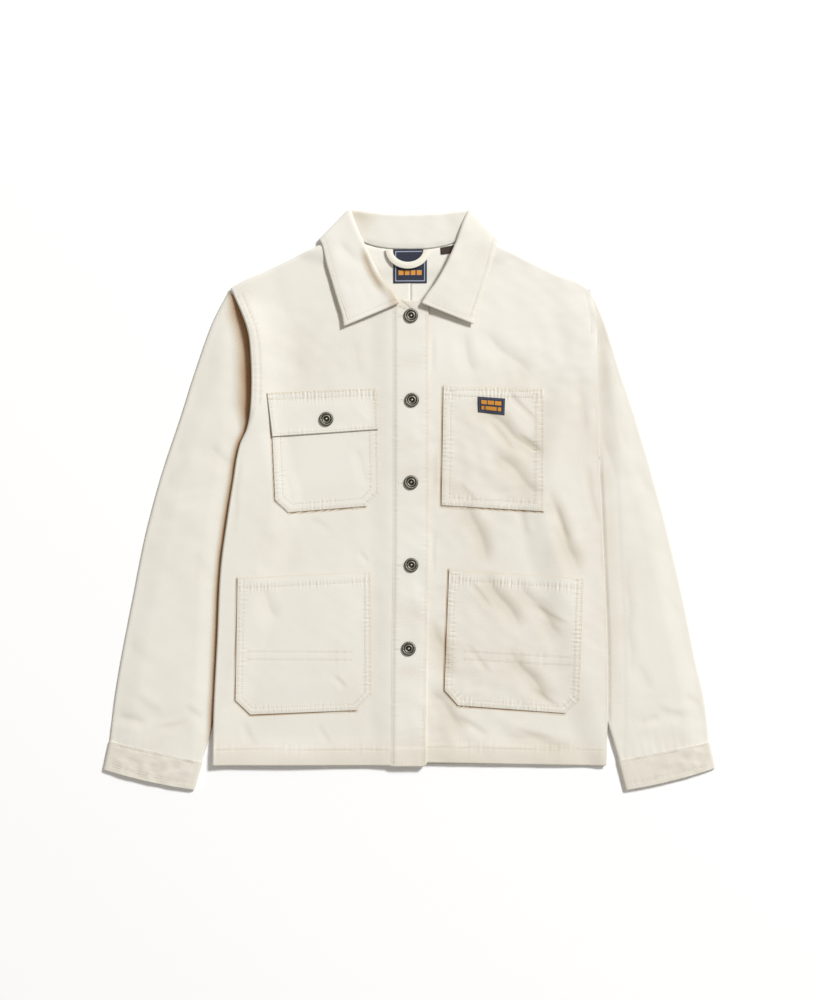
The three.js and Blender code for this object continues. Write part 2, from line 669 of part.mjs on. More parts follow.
const placketBase = (x, y) => frontRightMiddle(x, y) + CLOTH / 2 + LAP;

// The button band lies on the right front's edge.
function placket() {
  const rows = 24;
  const columns = 3;
  const outside = [];
  const inside = [];
  const bottom = PLACKET_EDGES[0].y;
  for (let i = 0; i <= rows; i += 1) {
    for (let j = 0; j <= columns; j += 1) {
      const v = i / rows;
      const u = j / columns;
      const level = lerp(bottom, 236, v);
      const left = along(PLACKET_EDGES, 'y', 'left', level);
      const right = along(PLACKET_EDGES, 'y', 'right', level);
      const x = lerp(left, right, u);
      const y = lerp(bottom, lerp(239, 234, u), v);
      const base = placketBase(x, y);
      outside.push(new THREE.Vector3(x, y, base + TRIM));
      inside.push(new THREE.Vector3(x, y, base));
    }
  }
  return solid('placket', outside, inside, rows + 1, columns + 1, canvas);
}

// A pressed metal button: raised ring, sunk centre and a nub, on a short shank
function button(name, x, y, z) {
  const r = BUTTON_ACROSS / 2;
  const high = BUTTON_HIGH;
  const profile = [
    [0, 0],
    [r * 0.45, 0],
    [r * 0.45, high * 0.3],
    [r, high * 0.45],
    [r * 0.82, high],
    [r * 0.5, high * 0.9],
    [r * 0.42, high * 0.6],
    [0, high * 0.75],
  ].map(([radius, level]) => new THREE.Vector2(radius, level));
  const geometry = new THREE.LatheGeometry(profile, 12);
  geometry.rotateX(Math.PI / 2);
  const mesh = new THREE.Mesh(geometry, pewter);
  mesh.name = name;
  mesh.position.set(x, y, z);
  return mesh;
}

// The hanger loop: an oval tape from the neck seam down and back up
function hangerLoop() {
  const steps = 16;
  const halfWidth = 22.6;
  const drop = 19;
  const centreX = -1.4;
  const topY = 300.6;
  const tapeHalf = 4.3;
  const tapeThick = 1.2;
  const ring = [
    { out: 1, up: 0 },
    { out: 0.6, up: 1 },
    { out: -0.6, up: 1 },
    { out: -1, up: 0 },
    { out: -0.6, up: -1 },
    { out: 0.6, up: -1 },
  ];
  const grid = [];
  for (let i = 0; i <= steps; i += 1) {
    const angle = (i / steps) * Math.PI;
    const way = new THREE.Vector3(-Math.cos(angle) * drop, -Math.sin(angle) * halfWidth, 0).normalize();
    const middle = new THREE.Vector3(
      centreX - Math.cos(angle) * halfWidth,
      topY - Math.sin(angle) * drop,
      6.2 + 1.6 * Math.sin(angle),
    );
    grid.push(ring.map(({ out, up }) => {
      const point = middle.clone().addScaledVector(way, out * tapeHalf);
      return point.setZ(middle.z + up * tapeThick);
    }));
  }
  return ringsSolid('hanger_loop', grid, loopTape);
}

// Rings of points joined in order, with flat ends
function ringsSolid(name, grid, material) {
  const rings = grid.length;
  const around = grid[0].length;
  const faces = [];
  for (let i = 0; i < rings - 1; i += 1) {
    for (let j = 0; j < around; j += 1) {
      const a = i * around + j;
      const b = i * around + ((j + 1) % around);
      faces.push(a, b + around, b, a, a + around, b + around);
    }
  }
  const last = (rings - 1) * around;
  for (let j = 1; j < around - 1; j += 1) {
    faces.push(0, j, j + 1);
    faces.push(last, last + j + 1, last + j);
  }
  const geometry = new THREE.BufferGeometry();
  const points = grid.flat().flatMap((p) => [p.x, p.y, p.z]);
  geometry.setAttribute('position', new THREE.Float32BufferAttribute(points, 3));
  geometry.setIndex(faces);
  geometry.computeVertexNormals();
  const mesh = new THREE.Mesh(geometry, material);
  mesh.name = name;
  return mesh;
}

// The jacket
const jacket = new THREE.Group();
jacket.add(back('back_right', -1), back('back_left', 1));
jacket.add(sleeve('sleeve_right', -1, SLEEVE_RIGHT, 1.7));
jacket.add(sleeve('sleeve_left', 1, SLEEVE_LEFT, 0));
jacket.add(cuff('cuff_right', -1, SLEEVE_RIGHT[0], CUFF_RIGHT));
jacket.add(cuff('cuff_left', 1, SLEEVE_LEFT[0], CUFF_LEFT));
jacket.add(front('front_left', 1, -15, 8, 15, 25, frontMiddle));
jacket.add(front('front_right', -1, -21.8, 4, 12, 21, frontRightMiddle));
jacket.add(placket(), collar());

const onRight = (x, y) => frontRightMiddle(x, y) + CLOTH / 2 + LIE;
const onLeft = (x, y) => frontMiddle(x, y) + CLOTH / 2 + LIE;
const onPocket = (x, y) => onRight(x, y) + TRIM + ON_POCKET;
const onBack = (x, y) => backMiddle(x, y) + CLOTH / 2 + GAP;
for (const [name, shape] of Object.entries(POCKETS)) {
  const under = shape.topLeft[0] < 0 ? onRight : onLeft;
  jacket.add(patch(name, shape, 8, 8, under, TRIM, canvasPocket));
}
jacket.add(patch('pocket_flap', FLAP, 8, 4, onPocket, TRIM, canvasPocket));
const onChest = (x, y) => onLeft(x, y) + TRIM + ON_POCKET;
jacket.add(patch('pocket_patch', PATCH, 3, 2, onChest, TRIM, labelCloth));
jacket.add(patch('neck_label', NECK_LABEL, 4, 4, onBack, TRIM, labelCloth));
jacket.add(patch('size_label', SIZE_LABEL, 2, 1, onBack, TRIM, sizeLabelCloth));
jacket.add(hangerLoop());
for (const { name, x, y } of BUTTONS) {
  jacket.add(button(name, x, y, placketBase(x, y) + TRIM + LAP));
}
const flapTop = onPocket(FLAP_BUTTON.x, FLAP_BUTTON.y) + TRIM;
jacket.add(button('button_flap', FLAP_BUTTON.x, FLAP_BUTTON.y, flapTop + LAP));

export default jacket;
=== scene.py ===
"""Dresses the chore jacket that lies flat: cloth, seams, stitches, buttons, labels, light, camera.

All shapes are worked out in millimetres, in the same frame as the solids, and turned into
metres when a mesh is made. X runs to the wearer's left, Y to the collar, Z up from the floor.
"""

import logging
import math
from collections.abc import Callable, Sequence
from dataclasses import dataclass, field
from enum import Enum

import bpy
import numpy as np
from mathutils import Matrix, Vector


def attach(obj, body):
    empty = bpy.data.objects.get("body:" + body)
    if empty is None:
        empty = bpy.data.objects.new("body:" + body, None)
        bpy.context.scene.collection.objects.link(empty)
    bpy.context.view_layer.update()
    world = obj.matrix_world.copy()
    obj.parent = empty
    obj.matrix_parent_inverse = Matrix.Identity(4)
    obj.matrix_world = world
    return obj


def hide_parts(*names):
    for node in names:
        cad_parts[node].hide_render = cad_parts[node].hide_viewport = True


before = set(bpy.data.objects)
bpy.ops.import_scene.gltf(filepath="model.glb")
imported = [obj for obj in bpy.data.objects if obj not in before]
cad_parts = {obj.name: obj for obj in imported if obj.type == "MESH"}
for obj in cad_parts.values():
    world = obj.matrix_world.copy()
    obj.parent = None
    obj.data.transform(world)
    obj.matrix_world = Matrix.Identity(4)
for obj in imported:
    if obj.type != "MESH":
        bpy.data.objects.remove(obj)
log = logging.getLogger("chore_jacket")

Array = np.ndarray
Point = tuple[float, float]
Height = Callable[[Array, Array], Array]
Number = float | bpy.types.NodeSocket


class Slot(str, Enum):
    """The record's material slots."""

    CANVAS = "canvas"
    TAPE = "loop_tape"
    NECK = "neck_label"
    PATCH = "patch_label"
    SIZE = "size_label"
    PEWTER = "pewter"


class Side(Enum):
    """The wearer's side of a paired piece, as the sign of X."""

    RIGHT = -1
    LEFT = 1

    @property
    def word(self) -> str:
        """The side as it stands in node names."""
        return self.name.lower()


# Sizes that the pieces share, in millimetres
CLOTH = 1.2
TRIM = 1.0
BAND_CLOTH = 1.6
GAP = 0.3
LAP = 0.45
SEAM_RISE = 0.6
HEM_DEPTH = 20.0
HEM_RISE = 0.5
SLEEVE_LIFT = 3.95
COLLAR_LIFT = 2.4
LOFT = 2.3
ARMHOLE_INSET = 6.5
ARMHOLE_RISE = 4.1
TIP_RISE = 2.3
BACK_HEM_Y = -317.4
BACK_SEAM_X = 1.8
SHOULDER_SLANT = 1.12
NEAR_SIDE = 236.0
COLLAR_ROLL = 2.2
BUTTON_ACROSS = 17.0
CUFF_DEPTH = 34.0
CUFF_ROWS = (2.6, 27.0)
COARSE = 4  # the hidden side of a wall has one point for this many of the side that shows

# Short tables of the jacket as it lies: y, left and right edge of the body
BODY_EDGES = np.array([
    (-318.6, -236.4, 237.0), (-254.4, -234.7, 238.6), (-169.2, -230.4, 238.0),
    (-84.0, -226.3, 234.4), (-15.6, -217.2, 231.4), (26.4, -210.5, 229.4),
    (49.2, -207.1, 228.8), (67.2, -202.8, 228.2), (85.2, -194.8, 227.6),
    (106.8, -190.8, 227.0), (144.0, -189.2, 226.6), (181.2, -190.8, 226.2),
    (201.6, -193.6, 225.8), (222.0, -200.4, 224.6), (243.6, -210.0, 220.4),
    (253.2, -214.2, 217.2),
])
# x from the middle, and y of the front's top edge
FRONT_TOP = np.array([
    (0, 236.0), (14, 238.5), (20, 243.0), (32, 252.0), (46, 272.0), (60, 303.0), (66, 327.0),
    (107, 306.6), (131, 295.2), (172, 275.0), (198, 263.6), (217, 252.6),
])
BACK_TOP = np.array([
    (0, 302.0), (40, 304.5), (58, 311.0), (66, 327.0), (107, 306.6), (131, 295.2),
    (172, 275.0), (198, 263.6), (217, 252.6),
])
# y, and how far from the middle the flat sleeve under the body begins
HIDDEN_SLEEVE = np.array([
    (-330, 262), (-300, 247), (-273, 237), (-180, 215), (-90, 192), (-20, 174), (10, 172),
    (40, 180), (85, 190), (110, 262),
])
# The same for the fronts, which come down from it more slowly at the armhole
UNDER_FRONTS = np.concatenate([HIDDEN_SLEEVE[:-1], [(150, 216), (215, 262)]])
# Sleeves from the cuff to the armhole: outer x, y and inner x, y
SLEEVE_RIGHT = np.array([
    (-359.4, -288.8, -248.8, -314.2), (-353.5, -240.0, -237.0, -273.6),
    (-344.6, -186.0, -222.0, -205.0), (-330.6, -114.0, -204.0, -130.0),
    (-316.2, -42.0, -188.0, -62.0), (-297.0, 30.0, -177.0, -8.0),
    (-273.6, 100.8, -177.0, 28.0), (-256.8, 153.6, -183.0, 45.0),
    (-236.0, 212.0, -193.0, 55.0), (-216.0, 251.0, -203.0, 60.0),
])
SLEEVE_LEFT = np.array([
    (361.0, -290.0, 251.2, -312.0), (355.2, -240.0, 238.4, -268.2),
    (343.2, -186.0, 223.0, -203.0), (328.8, -114.0, 206.0, -130.0),
    (312.0, -42.0, 190.0, -62.0), (292.8, 30.0, 179.0, -8.0),
    (271.2, 102.0, 179.0, 28.0), (253.2, 156.0, 190.0, 45.0),
    (236.0, 210.0, 208.0, 56.0), (218.4, 250.8, 224.0, 60.0),
])
CUFF_RIGHT = (-367.2, -323.3, -257.3, -347.8)
CUFF_LEFT = (368.6, -321.5, 259.7, -348.2)
# y, and the two edges of the button band
PLACKET_EDGES = np.array([
    (-319.8, -21.6, 18.6), (-180, -20.6, 21.4), (-60, -19.2, 23.4), (240, -19.2, 23.4),
])
# Half of the collar: turn, then x, y, z of its roll, of its outer edge and of its neck seam
COLLAR_HALF = np.array([
    (90, 15, 235.5, 11.8, 77.2, 210.8, 9.8, 19, 237.6, 9.7),
    (90, 22, 246.5, 11.8, 80.6, 222, 9.5, 26, 243.5, 9.3),
    (90, 32.5, 261, 11.4, 86.5, 240, 9.1, 38, 257, 8.4),
    (90, 45, 283, 10.8, 93, 262, 8.9, 51, 279, 7.8),
    (90, 55, 304.5, 10, 99.5, 284, 8.7, 59.5, 301, 7.2),
    (84, 63.4, 328, 8.6, 103.5, 302.5, 8.3, 62.5, 314, 6.6),
    (50, 69.4, 344.4, 6, 106.6, 310, 7.2, 64, 321.5, 5.6),
    (0, 71, 347, 4.4, 108.2, 312.2, 4.4, 63.6, 324.5, 4.9),
    (-50, 69, 347.4, 3.5, 106.6, 310.2, 1.7, 62.2, 325.8, 4.75),
    (-84, 63, 346.6, 3.1, 104, 307.4, 0.9, 60.2, 318, 4.55),
    (-90, 55, 345.8, 3, 90, 301.5, 0.8, 57.5, 311.6, 4.65),
    (-90, 42, 344.4, 3, 64, 295.5, 0.8, 47, 306.2, 4.65),
    (-90, 26, 343.4, 3, 34, 292, 0.8, 30, 302.4, 4.65),
    (-90, 0, 342.8, 3, 0, 291, 0.8, 0, 300.6, 4.65),
])
# Large folds of the fronts, which the solids have too: x1, y1, x2, y2, reach, depth
FOLDS = np.array([
    (61, 198, 74, 152, 9, 1.0), (86, 198, 146, 146, 11, 1.1), (76, 116, 154, 50, 10, 1.5),
    (104, 52, 154, 4, 10, 1.2), (68, -8, 93, -74, 10, 1.5), (168, 6, 199, -86, 9, 1.4),
    (90, -94, 130, -152, 10, 1.4), (128, -100, 180, -166, 10, 1.1),
    (120, -186, 164, -242, 10, 1.4), (26, -148, 46, -214, 10, 1.2),
    (24, -232, 64, -278, 10, 1.3), (112, -284, 196, -301, 9, 0.9),
    (-182, -106, -163, -142, 10, 0.8), (-172, -40, -180, -80, 12, 0.6),
    (-120, 210, -150, 160, 20, 0.5),
])
# Small folds and wrinkles of the washed cloth, which only the scene has
WRINKLES = np.array([
    (29, 195, 27, 157, 3.5, 0.35), (120, 128, 150, 96, 4, 0.4), (132, 76, 158, 58, 4, 0.45),
    (96, 92, 124, 60, 5, 0.35), (133, -12, 142, -42, 5, 0.4), (60, 20, 78, -4, 5, 0.3),
    (176, -10, 192, -50, 3.5, 0.45), (74, -100, 96, -128, 4, 0.35),
    (148, -128, 190, -150, 4, 0.35), (70, -176, 96, -206, 4, 0.3),
    (150, -228, 178, -250, 4, 0.35), (60, -262, 92, -282, 4, 0.35),
    (128, -276, 170, -288, 3.5, 0.3), (212, 40, 226, -30, 5, 0.3),
    (30, -40, 28, -86, 3.5, 0.3), (32, 60, 29, 10, 4, 0.25), (204, 150, 210, 80, 6, 0.25),
    (-187, 110, -205, 66, 3.5, 1.1), (-205, 60, -212, -40, 5, 0.35),
    (-90, -212, -78, -226, 4, 0.35), (-60, -64, -50, -76, 4, 0.3),
    (-120, -24, -96, -36, 5, 0.25), (-66, 60, -52, 20, 6, 0.25),
    (-200, -268, -186, -296, 5, 0.3), (-110, -270, -96, -292, 4, 0.25),
    (-70, 190, -60, 150, 8, 0.25), (-150, 30, -142, -4, 6, 0.2),
])


@dataclass(frozen=True)
class Patch:
    """Four corners of a flat piece sewn on another, and the size of its cut-off bottom corners."""

    name: str
    top_left: Point
    top_right: Point
    bottom_left: Point
    bottom_right: Point
    cut: float = 0.0

    @property
    def width(self) -> float:
        """Length of the top edge."""
        return math.dist(self.top_left, self.top_right)

    @property
    def height(self) -> float:
        """Length of the left edge."""
        return math.dist(self.top_left, self.bottom_left)

    def corner(self, end: Point, towards: Point) -> Point:
        """The place one cut away from end."""
        share = self.cut / math.dist(end, towards)
        return (end[0] + (towards[0] - end[0]) * share, end[1] + (towards[1] - end[1]) * share)

    def sewn_edge(self) -> list[Point]:
        """The edge that is sewn down: left, bottom and right, with the cut corners."""
        if self.cut == 0:
            return [self.top_left, self.bottom_left, self.bottom_right, self.top_right]
        return [
            self.top_left,
            self.corner(self.bottom_left, self.top_left),
            self.corner(self.bottom_left, self.bottom_right),
            self.corner(self.bottom_right, self.bottom_left),
            self.corner(self.bottom_right, self.top_right),
            self.top_right,
        ]

    def grid(self, spacing: float) -> tuple[Array, Array]:
        """Places x and y all over the patch, closer together at its edges.

        Args:
            spacing: distance between places away from the edges, in millimetres.

        Returns:
            Two arrays with rows from the bottom edge up and columns from left to right.
        """
        across = graded(self.width, spacing) / self.width
        up = graded(self.height, spacing) / self.height
        inset = np.maximum(0.0, self.cut - up * self.height)[:, None] / self.width
        u = inset + (1 - 2 * inset) * across[None, :]
        v = np.broadcast_to(up[:, None], u.shape)
        return self.place(u, v)

    def place(self, u: Array, v: Array) -> tuple[Array, Array]:
        """Places at shares u across and v up."""
        corners = (self.bottom_left, self.bottom_right, self.top_left, self.top_right)
        bl, br, tl, tr = (np.array(c) for c in corners)
        x = (bl[0] + (br[0] - bl[0]) * u) * (1 - v) + (tl[0] + (tr[0] - tl[0]) * u) * v
        y = (bl[1] + (br[1] - bl[1]) * u) * (1 - v) + (tl[1] + (tr[1] - tl[1]) * u) * v
        return x, y


CHEST_RIGHT = Patch(
    "chest_pocket_right", (-166.0, 118), (-38.2, 121), (-160.0, -16.2), (-36.4, -6.4), 16)
CHEST_LEFT = Patch("chest_pocket_left", (41.2, 136), (161.9, 133.8), (38.8, -6.5), (160.8, -13.8))
HIP_RIGHT = Patch(
    "hip_pocket_right", (-205.8, -94.0), (-45.6, -85.8), (-208.6, -258.6), (-45.0, -251.8), 18)
HIP_LEFT = Patch(
    "hip_pocket_left", (47.9, -83.8), (209.3, -94.0), (41.8, -245.6), (204.0, -257.4), 17)
FLAP = Patch("pocket_flap", (-170.0, 128.4), (-38.2, 133.8), (-163.9, 76.1), (-36.7, 84.8))
POCKET_PATCH = Patch("pocket_patch", (82.3, 124.1), (115.3, 121.8), (82.9, 105.5), (114.6, 101.9))
NECK_LABEL = Patch("neck_label", (-18.8, 301), (21.6, 301.4), (-18.8, 260.4), (21.4, 260.6))
SIZE_LABEL = Patch("size_label", (37.6, 303), (53.5, 306), (38.4, 294.6), (54.4, 296.6))
BUTTONS = {
    "button_1": (2.4, 221.2), "button_2": (3.4, 120.0), "button_3": (2.5, 21.1),
    "button_4": (2.8, -78.0), "button_5": (-0.4, -178.3),
}
FLAP_BUTTON = (-99.2, 97.2)


# Small mathematics
def smooth(start: float | Array, end: float | Array, value: float | Array) -> Array:
    """A smooth step from 0 at start to 1 at end, which may be the lower of the two."""
    t = np.clip((value - start) / (end - start), 0.0, 1.0)
    return t * t * (3 - 2 * t)


def mix(a: float | Array, b: float | Array, t: float | Array) -> Array:
    """The value at share t from a to b."""
    return a + (b - a) * t


def bell(distance: Array, reach: float) -> Array:
    """A soft bump: 1 at no distance, about a third at the reach, and nothing far away."""
    return np.exp(-((distance / reach) ** 2))


def rounding(distance: Array, deep: float, reach: float) -> Array:
    """How far a rounded edge falls away, at a distance in from the edge."""
    return deep * (1 - np.sqrt(1 - np.clip(1 - distance / reach, 0, 1) ** 2))


def hermite(a: Array, b: Array, slope_a: Array, slope_b: Array, t: Array) -> Array:
    """A cubic from a to b with the given slopes at its ends."""
    s = 1 - t
    rise = a * s * s * (1 + 2 * t) + b * t * t * (1 + 2 * s)
    return rise + slope_a * t * s * s - slope_b * t * t * s


def along(table: Array, column: int, where: float | Array) -> Array:
    """Reads a table between its rows, with a smooth curve through them.

    Args:
        table: rows that rise in their first column.
        column: the column that is wanted.
        where: the places in the first column.

    Returns:
        The wanted column's values there.
    """
    at, values = table[:, 0], table[:, column]
    last = len(at) - 1
    before = np.maximum(np.arange(last + 1) - 1, 0)
    after = np.minimum(np.arange(last + 1) + 1, last)
    slopes = (values[after] - values[before]) / (at[after] - at[before])
    where = np.asarray(where, dtype=float)
    i = np.clip(np.searchsorted(at, where, side="left") - 1, 0, last - 1)
    span = at[i + 1] - at[i]
    t = np.clip((where - at[i]) / span, 0, 1)
    return hermite(values[i], values[i + 1], slopes[i] * span, slopes[i + 1] * span, t)


def by_row(table: Array, t: Array) -> Array:
    """Reads all columns of a table with a smooth curve, for edges that turn back.

    Args:
        table: rows in order, evenly spaced in share.
        t: the wanted places, as shares of the table's length.

    Returns:
        One row of values for each place.
    """
    last = len(table) - 1
    place = np.clip(t, 0, 1) * last
    i = np.minimum(place.astype(int), last - 1)
    a, b = table[i], table[i + 1]
    before, after = table[np.maximum(i - 1, 0)], table[np.minimum(i + 2, last)]
    return hermite(a, b, (b - before) / 2, (after - a) / 2, (place - i)[:, None])


def graded(length: float, spacing: float) -> Array:
    """Places from 0 to length, closer together at both ends, in a count that COARSE divides."""
    ends = np.array([0.0, 0.12, 0.4, 0.8, 1.4, 2.1])
    inner = max(4, round((length - 2 * ends[-1]) / spacing))
    inner += -(inner + 2 * (len(ends) - 1)) % COARSE
    middle = np.linspace(ends[-1], length - ends[-1], inner + 1)
    return np.concatenate([ends[:-1], middle, (length - ends[:-1])[::-1]])


def uneven(arc: Array, pitch: float, seed: float) -> Array:
    """Waves along a seam, uneven in height and spacing, between about -1 and 1."""
    turn = 2 * math.pi * arc / pitch
    waves = 0.62 * np.sin(turn + seed + 1.3 * np.sin(arc / (2.9 * pitch) + 2 * seed))
    waves += 0.4 * np.sin(turn / 1.63 + 2.1 * seed) + 0.22 * np.sin(turn / 0.57 + 3.7 * seed)
    return waves * (0.55 + 0.45 * np.sin(arc / (2.3 * pitch) + 1.7 * seed))


def inset_path(path: Sequence[Point], distance: float) -> list[Point]:
    """A path moved sideways, with its corners kept sharp.

    Args:
        path: corners of the path in plan.
        distance: how far to its left it moves, less than 0 to its right.

    Returns:
        The corners of the moved path.
    """
    points = np.array(path, dtype=float)
    way = np.diff(points, axis=0)
    way /= np.linalg.norm(way, axis=1)[:, None]
    normal = np.stack([-way[:, 1], way[:, 0]], axis=1)
    first, last = normal[:1], normal[-1:]
    both = normal[:-1] + normal[1:]
    mitre = both / (1 + np.sum(normal[:-1] * normal[1:], axis=1))[:, None]
    moved = points + distance * np.concatenate([first, mitre, last])
    return [tuple(p) for p in moved]


def from_path(path: Sequence[Point], x: Array, y: Array) -> tuple[Array, Array]:
    """How far places lie from a path, and how far along it their nearest points are.

    Args:
        path: corners of the path in plan.
        x: places to measure.
        y: the same places.

    Returns:
        The distances from the path and the distances along it.
    """
    points = np.array(path, dtype=float)
    best = np.full(x.shape, 1e9)
    arc = np.zeros(x.shape)
    walked = 0.0
    for (x1, y1), (x2, y2) in zip(points[:-1], points[1:]):
        dx, dy = x2 - x1, y2 - y1
        length = math.hypot(dx, dy)
        t = np.clip(((x - x1) * dx + (y - y1) * dy) / length**2, 0, 1)
        distance = np.hypot(x - x1 - t * dx, y - y1 - t * dy)
        nearer = distance < best
        best = np.where(nearer, distance, best)
        arc = np.where(nearer, walked + t * length, arc)
        walked += length
    return best, arc


def fold_relief(folds: Array, x: Array, y: Array) -> Array:
    """How deep the given folds press the cloth at each place.

    Each is a trough that wanders a little, sharper on the side of its upper bank, with a low
    ridge on either side.

    Args:
        folds: one fold a row, as x1, y1, x2, y2, reach and depth.
        x: places to measure.
        y: the same places.

    Returns:
        The depths, less than 0 on the ridges.
    """
    depth = np.zeros(np.broadcast(x, y).shape)
    for x1, y1, x2, y2, reach, deep in folds:
        dx, dy = x2 - x1, y2 - y1
        length = math.hypot(dx, dy)
        t = ((x - x1) * dx + (y - y1) * dy) / length**2
        across = ((x - x1) * dy - (y - y1) * dx) / length
        across = (across + 0.16 * reach * np.sin(t * length / 9 + x1 + y1)) / reach
        fade = smooth(-0.15, 0.25, t) * (1 - smooth(0.75, 1.15, t))
        trough = np.exp(-(across**2)) + 0.4 * np.exp(-(((across + 0.35) / 0.34) ** 2))
        banks = np.exp(-(((across + 1.5) / 0.7) ** 2)) + 0.6 * np.exp(-(((across - 1.6) / 0.8) ** 2))
        depth += deep * fade * (trough - 0.3 * banks)
    return depth


def washed(x: Array, y: Array) -> Array:
    """Low uneven relief that washing leaves in the cloth."""
    total = np.zeros(np.broadcast(x, y).shape)
    for k in range(9):
        heading, wave = 2.1 + 2.4 * k, 12.0 + 4.1 * k
        way = x * math.cos(heading) + y * math.sin(heading)
        aside = y * math.cos(heading) - x * math.sin(heading)
        bend = 2.6 * np.sin(aside / (1.1 * wave) + k + 1.5 * np.sin(way / (2.3 * wave)))
        total += wave * np.sin(2 * math.pi * way / wave + bend) / 220
    return total * (0.55 + 0.45 * np.sin(x / 53 + 1.3 * np.sin(y / 71)) * np.sin(y / 47 + 0.8))


@dataclass(frozen=True)
class Seam:
    """A row of stitches across a piece that lies flat, and how it draws the cloth in.

    Attributes:
        path: corners of the row in plan.
        groove: how deep the thread draws the cloth in.
        width: reach of that groove on either side.
        pucker: height of the ripples along the row.
        pitch: distance between ripples.
        reach: how far from the row they fade.
        seed: where the ripples begin.
        sewn: whether stitches show.
    """

    path: tuple[Point, ...]
    groove: float = 0.3
    width: float = 1.0
    pucker: float = 0.0
    pitch: float = 8.0
    reach: float = 6.0
    seed: float = 1.0
    sewn: bool = True

    def relief(self, x: Array, y: Array) -> Array:
        """Height that the seam adds at each place."""
        distance, arc = from_path(self.path, x, y)
        drawn = -self.groove * bell(distance, self.width)
        ripple = uneven(arc, self.pitch, self.seed) * bell(distance, self.reach)
        fine = uneven(arc, self.pitch / 1.7, self.seed + 5) * bell(distance, 0.55 * self.reach)
        return drawn + self.pucker * (ripple + 0.55 * fine)


# How the body lies
def left_edge(y: Array) -> Array:
    """The body's edge on the wearer's right, which is on the left of the picture."""
    return along(BODY_EDGES, 1, y)


def right_edge(y: Array) -> Array:
    """The body's edge on the wearer's left."""
    return along(BODY_EDGES, 2, y)


def side_edge(side: Side, y: float | Array) -> Array:
    """How far from the middle the body's edge on one side lies."""
    return -left_edge(y) if side is Side.RIGHT else right_edge(y)


def hem_line(x: Array) -> Array:
    """The lower edge of the fronts."""
    x = np.asarray(x, dtype=float)
    return np.where(x < 20, -318.6, mix(-315.0, -319.0, np.clip((x - 20) / 217, 0, 1)))


def back_lift(x: Array, y: Array, hidden: Array = HIDDEN_SLEEVE) -> Array:
    """What a sleeve or the collar's leaf under the back lifts it by.

    Args:
        x: places to measure.
        y: the same places.
        hidden: where the sleeve under the body begins, as y and distance from the middle.

    Returns:
        The heights.
    """
    reach = along(hidden, 1, np.clip(y, hidden[0, 0], hidden[-1, 0]))
    over_sleeve = smooth(reach - 46, reach - 5, np.abs(x))
    leaf_edge = 289 + 18 * np.maximum(0, (np.abs(x) - 30) / 77) ** 1.5
    over_leaf = smooth(leaf_edge - 27, leaf_edge - 8, y)
    in_from_side = np.where(x < 0, x - left_edge(y), right_edge(y) - x)
    head_rise = mix(ARMHOLE_RISE, TIP_RISE, smooth(222, 248, y)) * smooth(30, 60, y)
    over_head = head_rise * smooth(58, 9, in_from_side)
    return np.maximum(SLEEVE_LIFT * over_sleeve, over_head) + COLLAR_LIFT * over_leaf


def back_middle(x: Array, y: Array) -> Array:
    """Height of the middle of the back's cloth."""
    return CLOTH / 2 + back_lift(x, y)


def back_top(x: Array, y: Array) -> Array:
    """The top of the back."""
    return back_middle(x, y) + CLOTH / 2


def front_middle(x: Array, y: Array) -> Array:
    """Height of the middle of the fronts' cloth, before one laps over the other."""
    by_left = np.maximum(0, x - left_edge(y))
    by_right = np.maximum(0, right_edge(y) - x)
    swell = 0.5 * np.sin(x / 47 + 0.6) * np.sin(y / 83 + 0.4) + 0.3 * np.sin((x + y) / 61)
    swell = swell * smooth(0, 40, by_right) + mix(0.35, 0.8, smooth(-20, 40, x)) * washed(x, y)
    armhole = smooth(60, 120, y) * smooth(252, 205, y) * bell(by_left, 20)
    swell = swell + 4.6 * armhole - 2.1 * smooth(60, 4, by_right)
    sides = 0.7 * smooth(-150, -215, x)
    above_hem = y - hem_line(x)
    hem = HEM_RISE * smooth(HEM_DEPTH + 3, HEM_DEPTH - 1, above_hem)
    hem = hem + mix(1.3, 3.9, bell(x + 148, 60)) * smooth(38, 0, above_hem)
    wrinkles = 0.75 * fold_relief(FOLDS, x, y) + fold_relief(WRINKLES, x, y)
    lifted = CLOTH / 2 + back_lift(x, y, UNDER_FRONTS)
    return lifted + CLOTH + LOFT + swell + sides + hem - wrinkles


def painted_fold_shade_and_tone(x: Array, y: Array) -> Array:
    """Painted shade in the fronts' folds and wrinkles, where their colour is made darker, with a
    broad tone on the wearer's left front and the darker hem.
    """
    wide = FOLDS * np.array([1, 1, 1, 1, 2.2, 1])
    folds = 0.03 * np.clip(fold_relief(FOLDS, x, y), 0, 2)
    folds = folds + 0.1 * np.clip(fold_relief(wide, x, y), 0, 2)
    wrinkles = 0.3 * np.clip(fold_relief(WRINKLES, x, y), 0, 0.7)
    # A broad tone on the wearer's left front: a little darker below the chest, lighter towards the
    # shoulder.
    broad_tone = 0.06 * smooth(150, 110, y) - 0.3 * smooth(140, 185, y)
    folded = (folds + wrinkles) * mix(0.5, 1, smooth(-20, 30, x))
    return -folded - broad_tone * smooth(20, 40, x) - hem_darkening(x, y)


def hem_darkening(x: Array, y: Array) -> Array:
    """How much deeper the colour is along the hem."""
    return 0.17 * smooth(40, 4, y - hem_line(x))


def front_right_middle(x: Array, y: Array) -> Array:
    """Height of the middle of the wearer's right front, which laps over the other one."""
    return front_middle(x, y) + (CLOTH + LAP) * smooth(-48, -22, x)


def rolled_edge(x: Array, y: Array) -> Array:
    """Height that the fronts' rolled edges come down to."""
    return CLOTH + SEAM_RISE + back_lift(x, y)


def left_top(x: Array, y: Array) -> Array:
    """The top of the wearer's left front."""
    return front_middle(x, y) + CLOTH / 2 + seams_relief(FRONT_SEAMS, x, y)


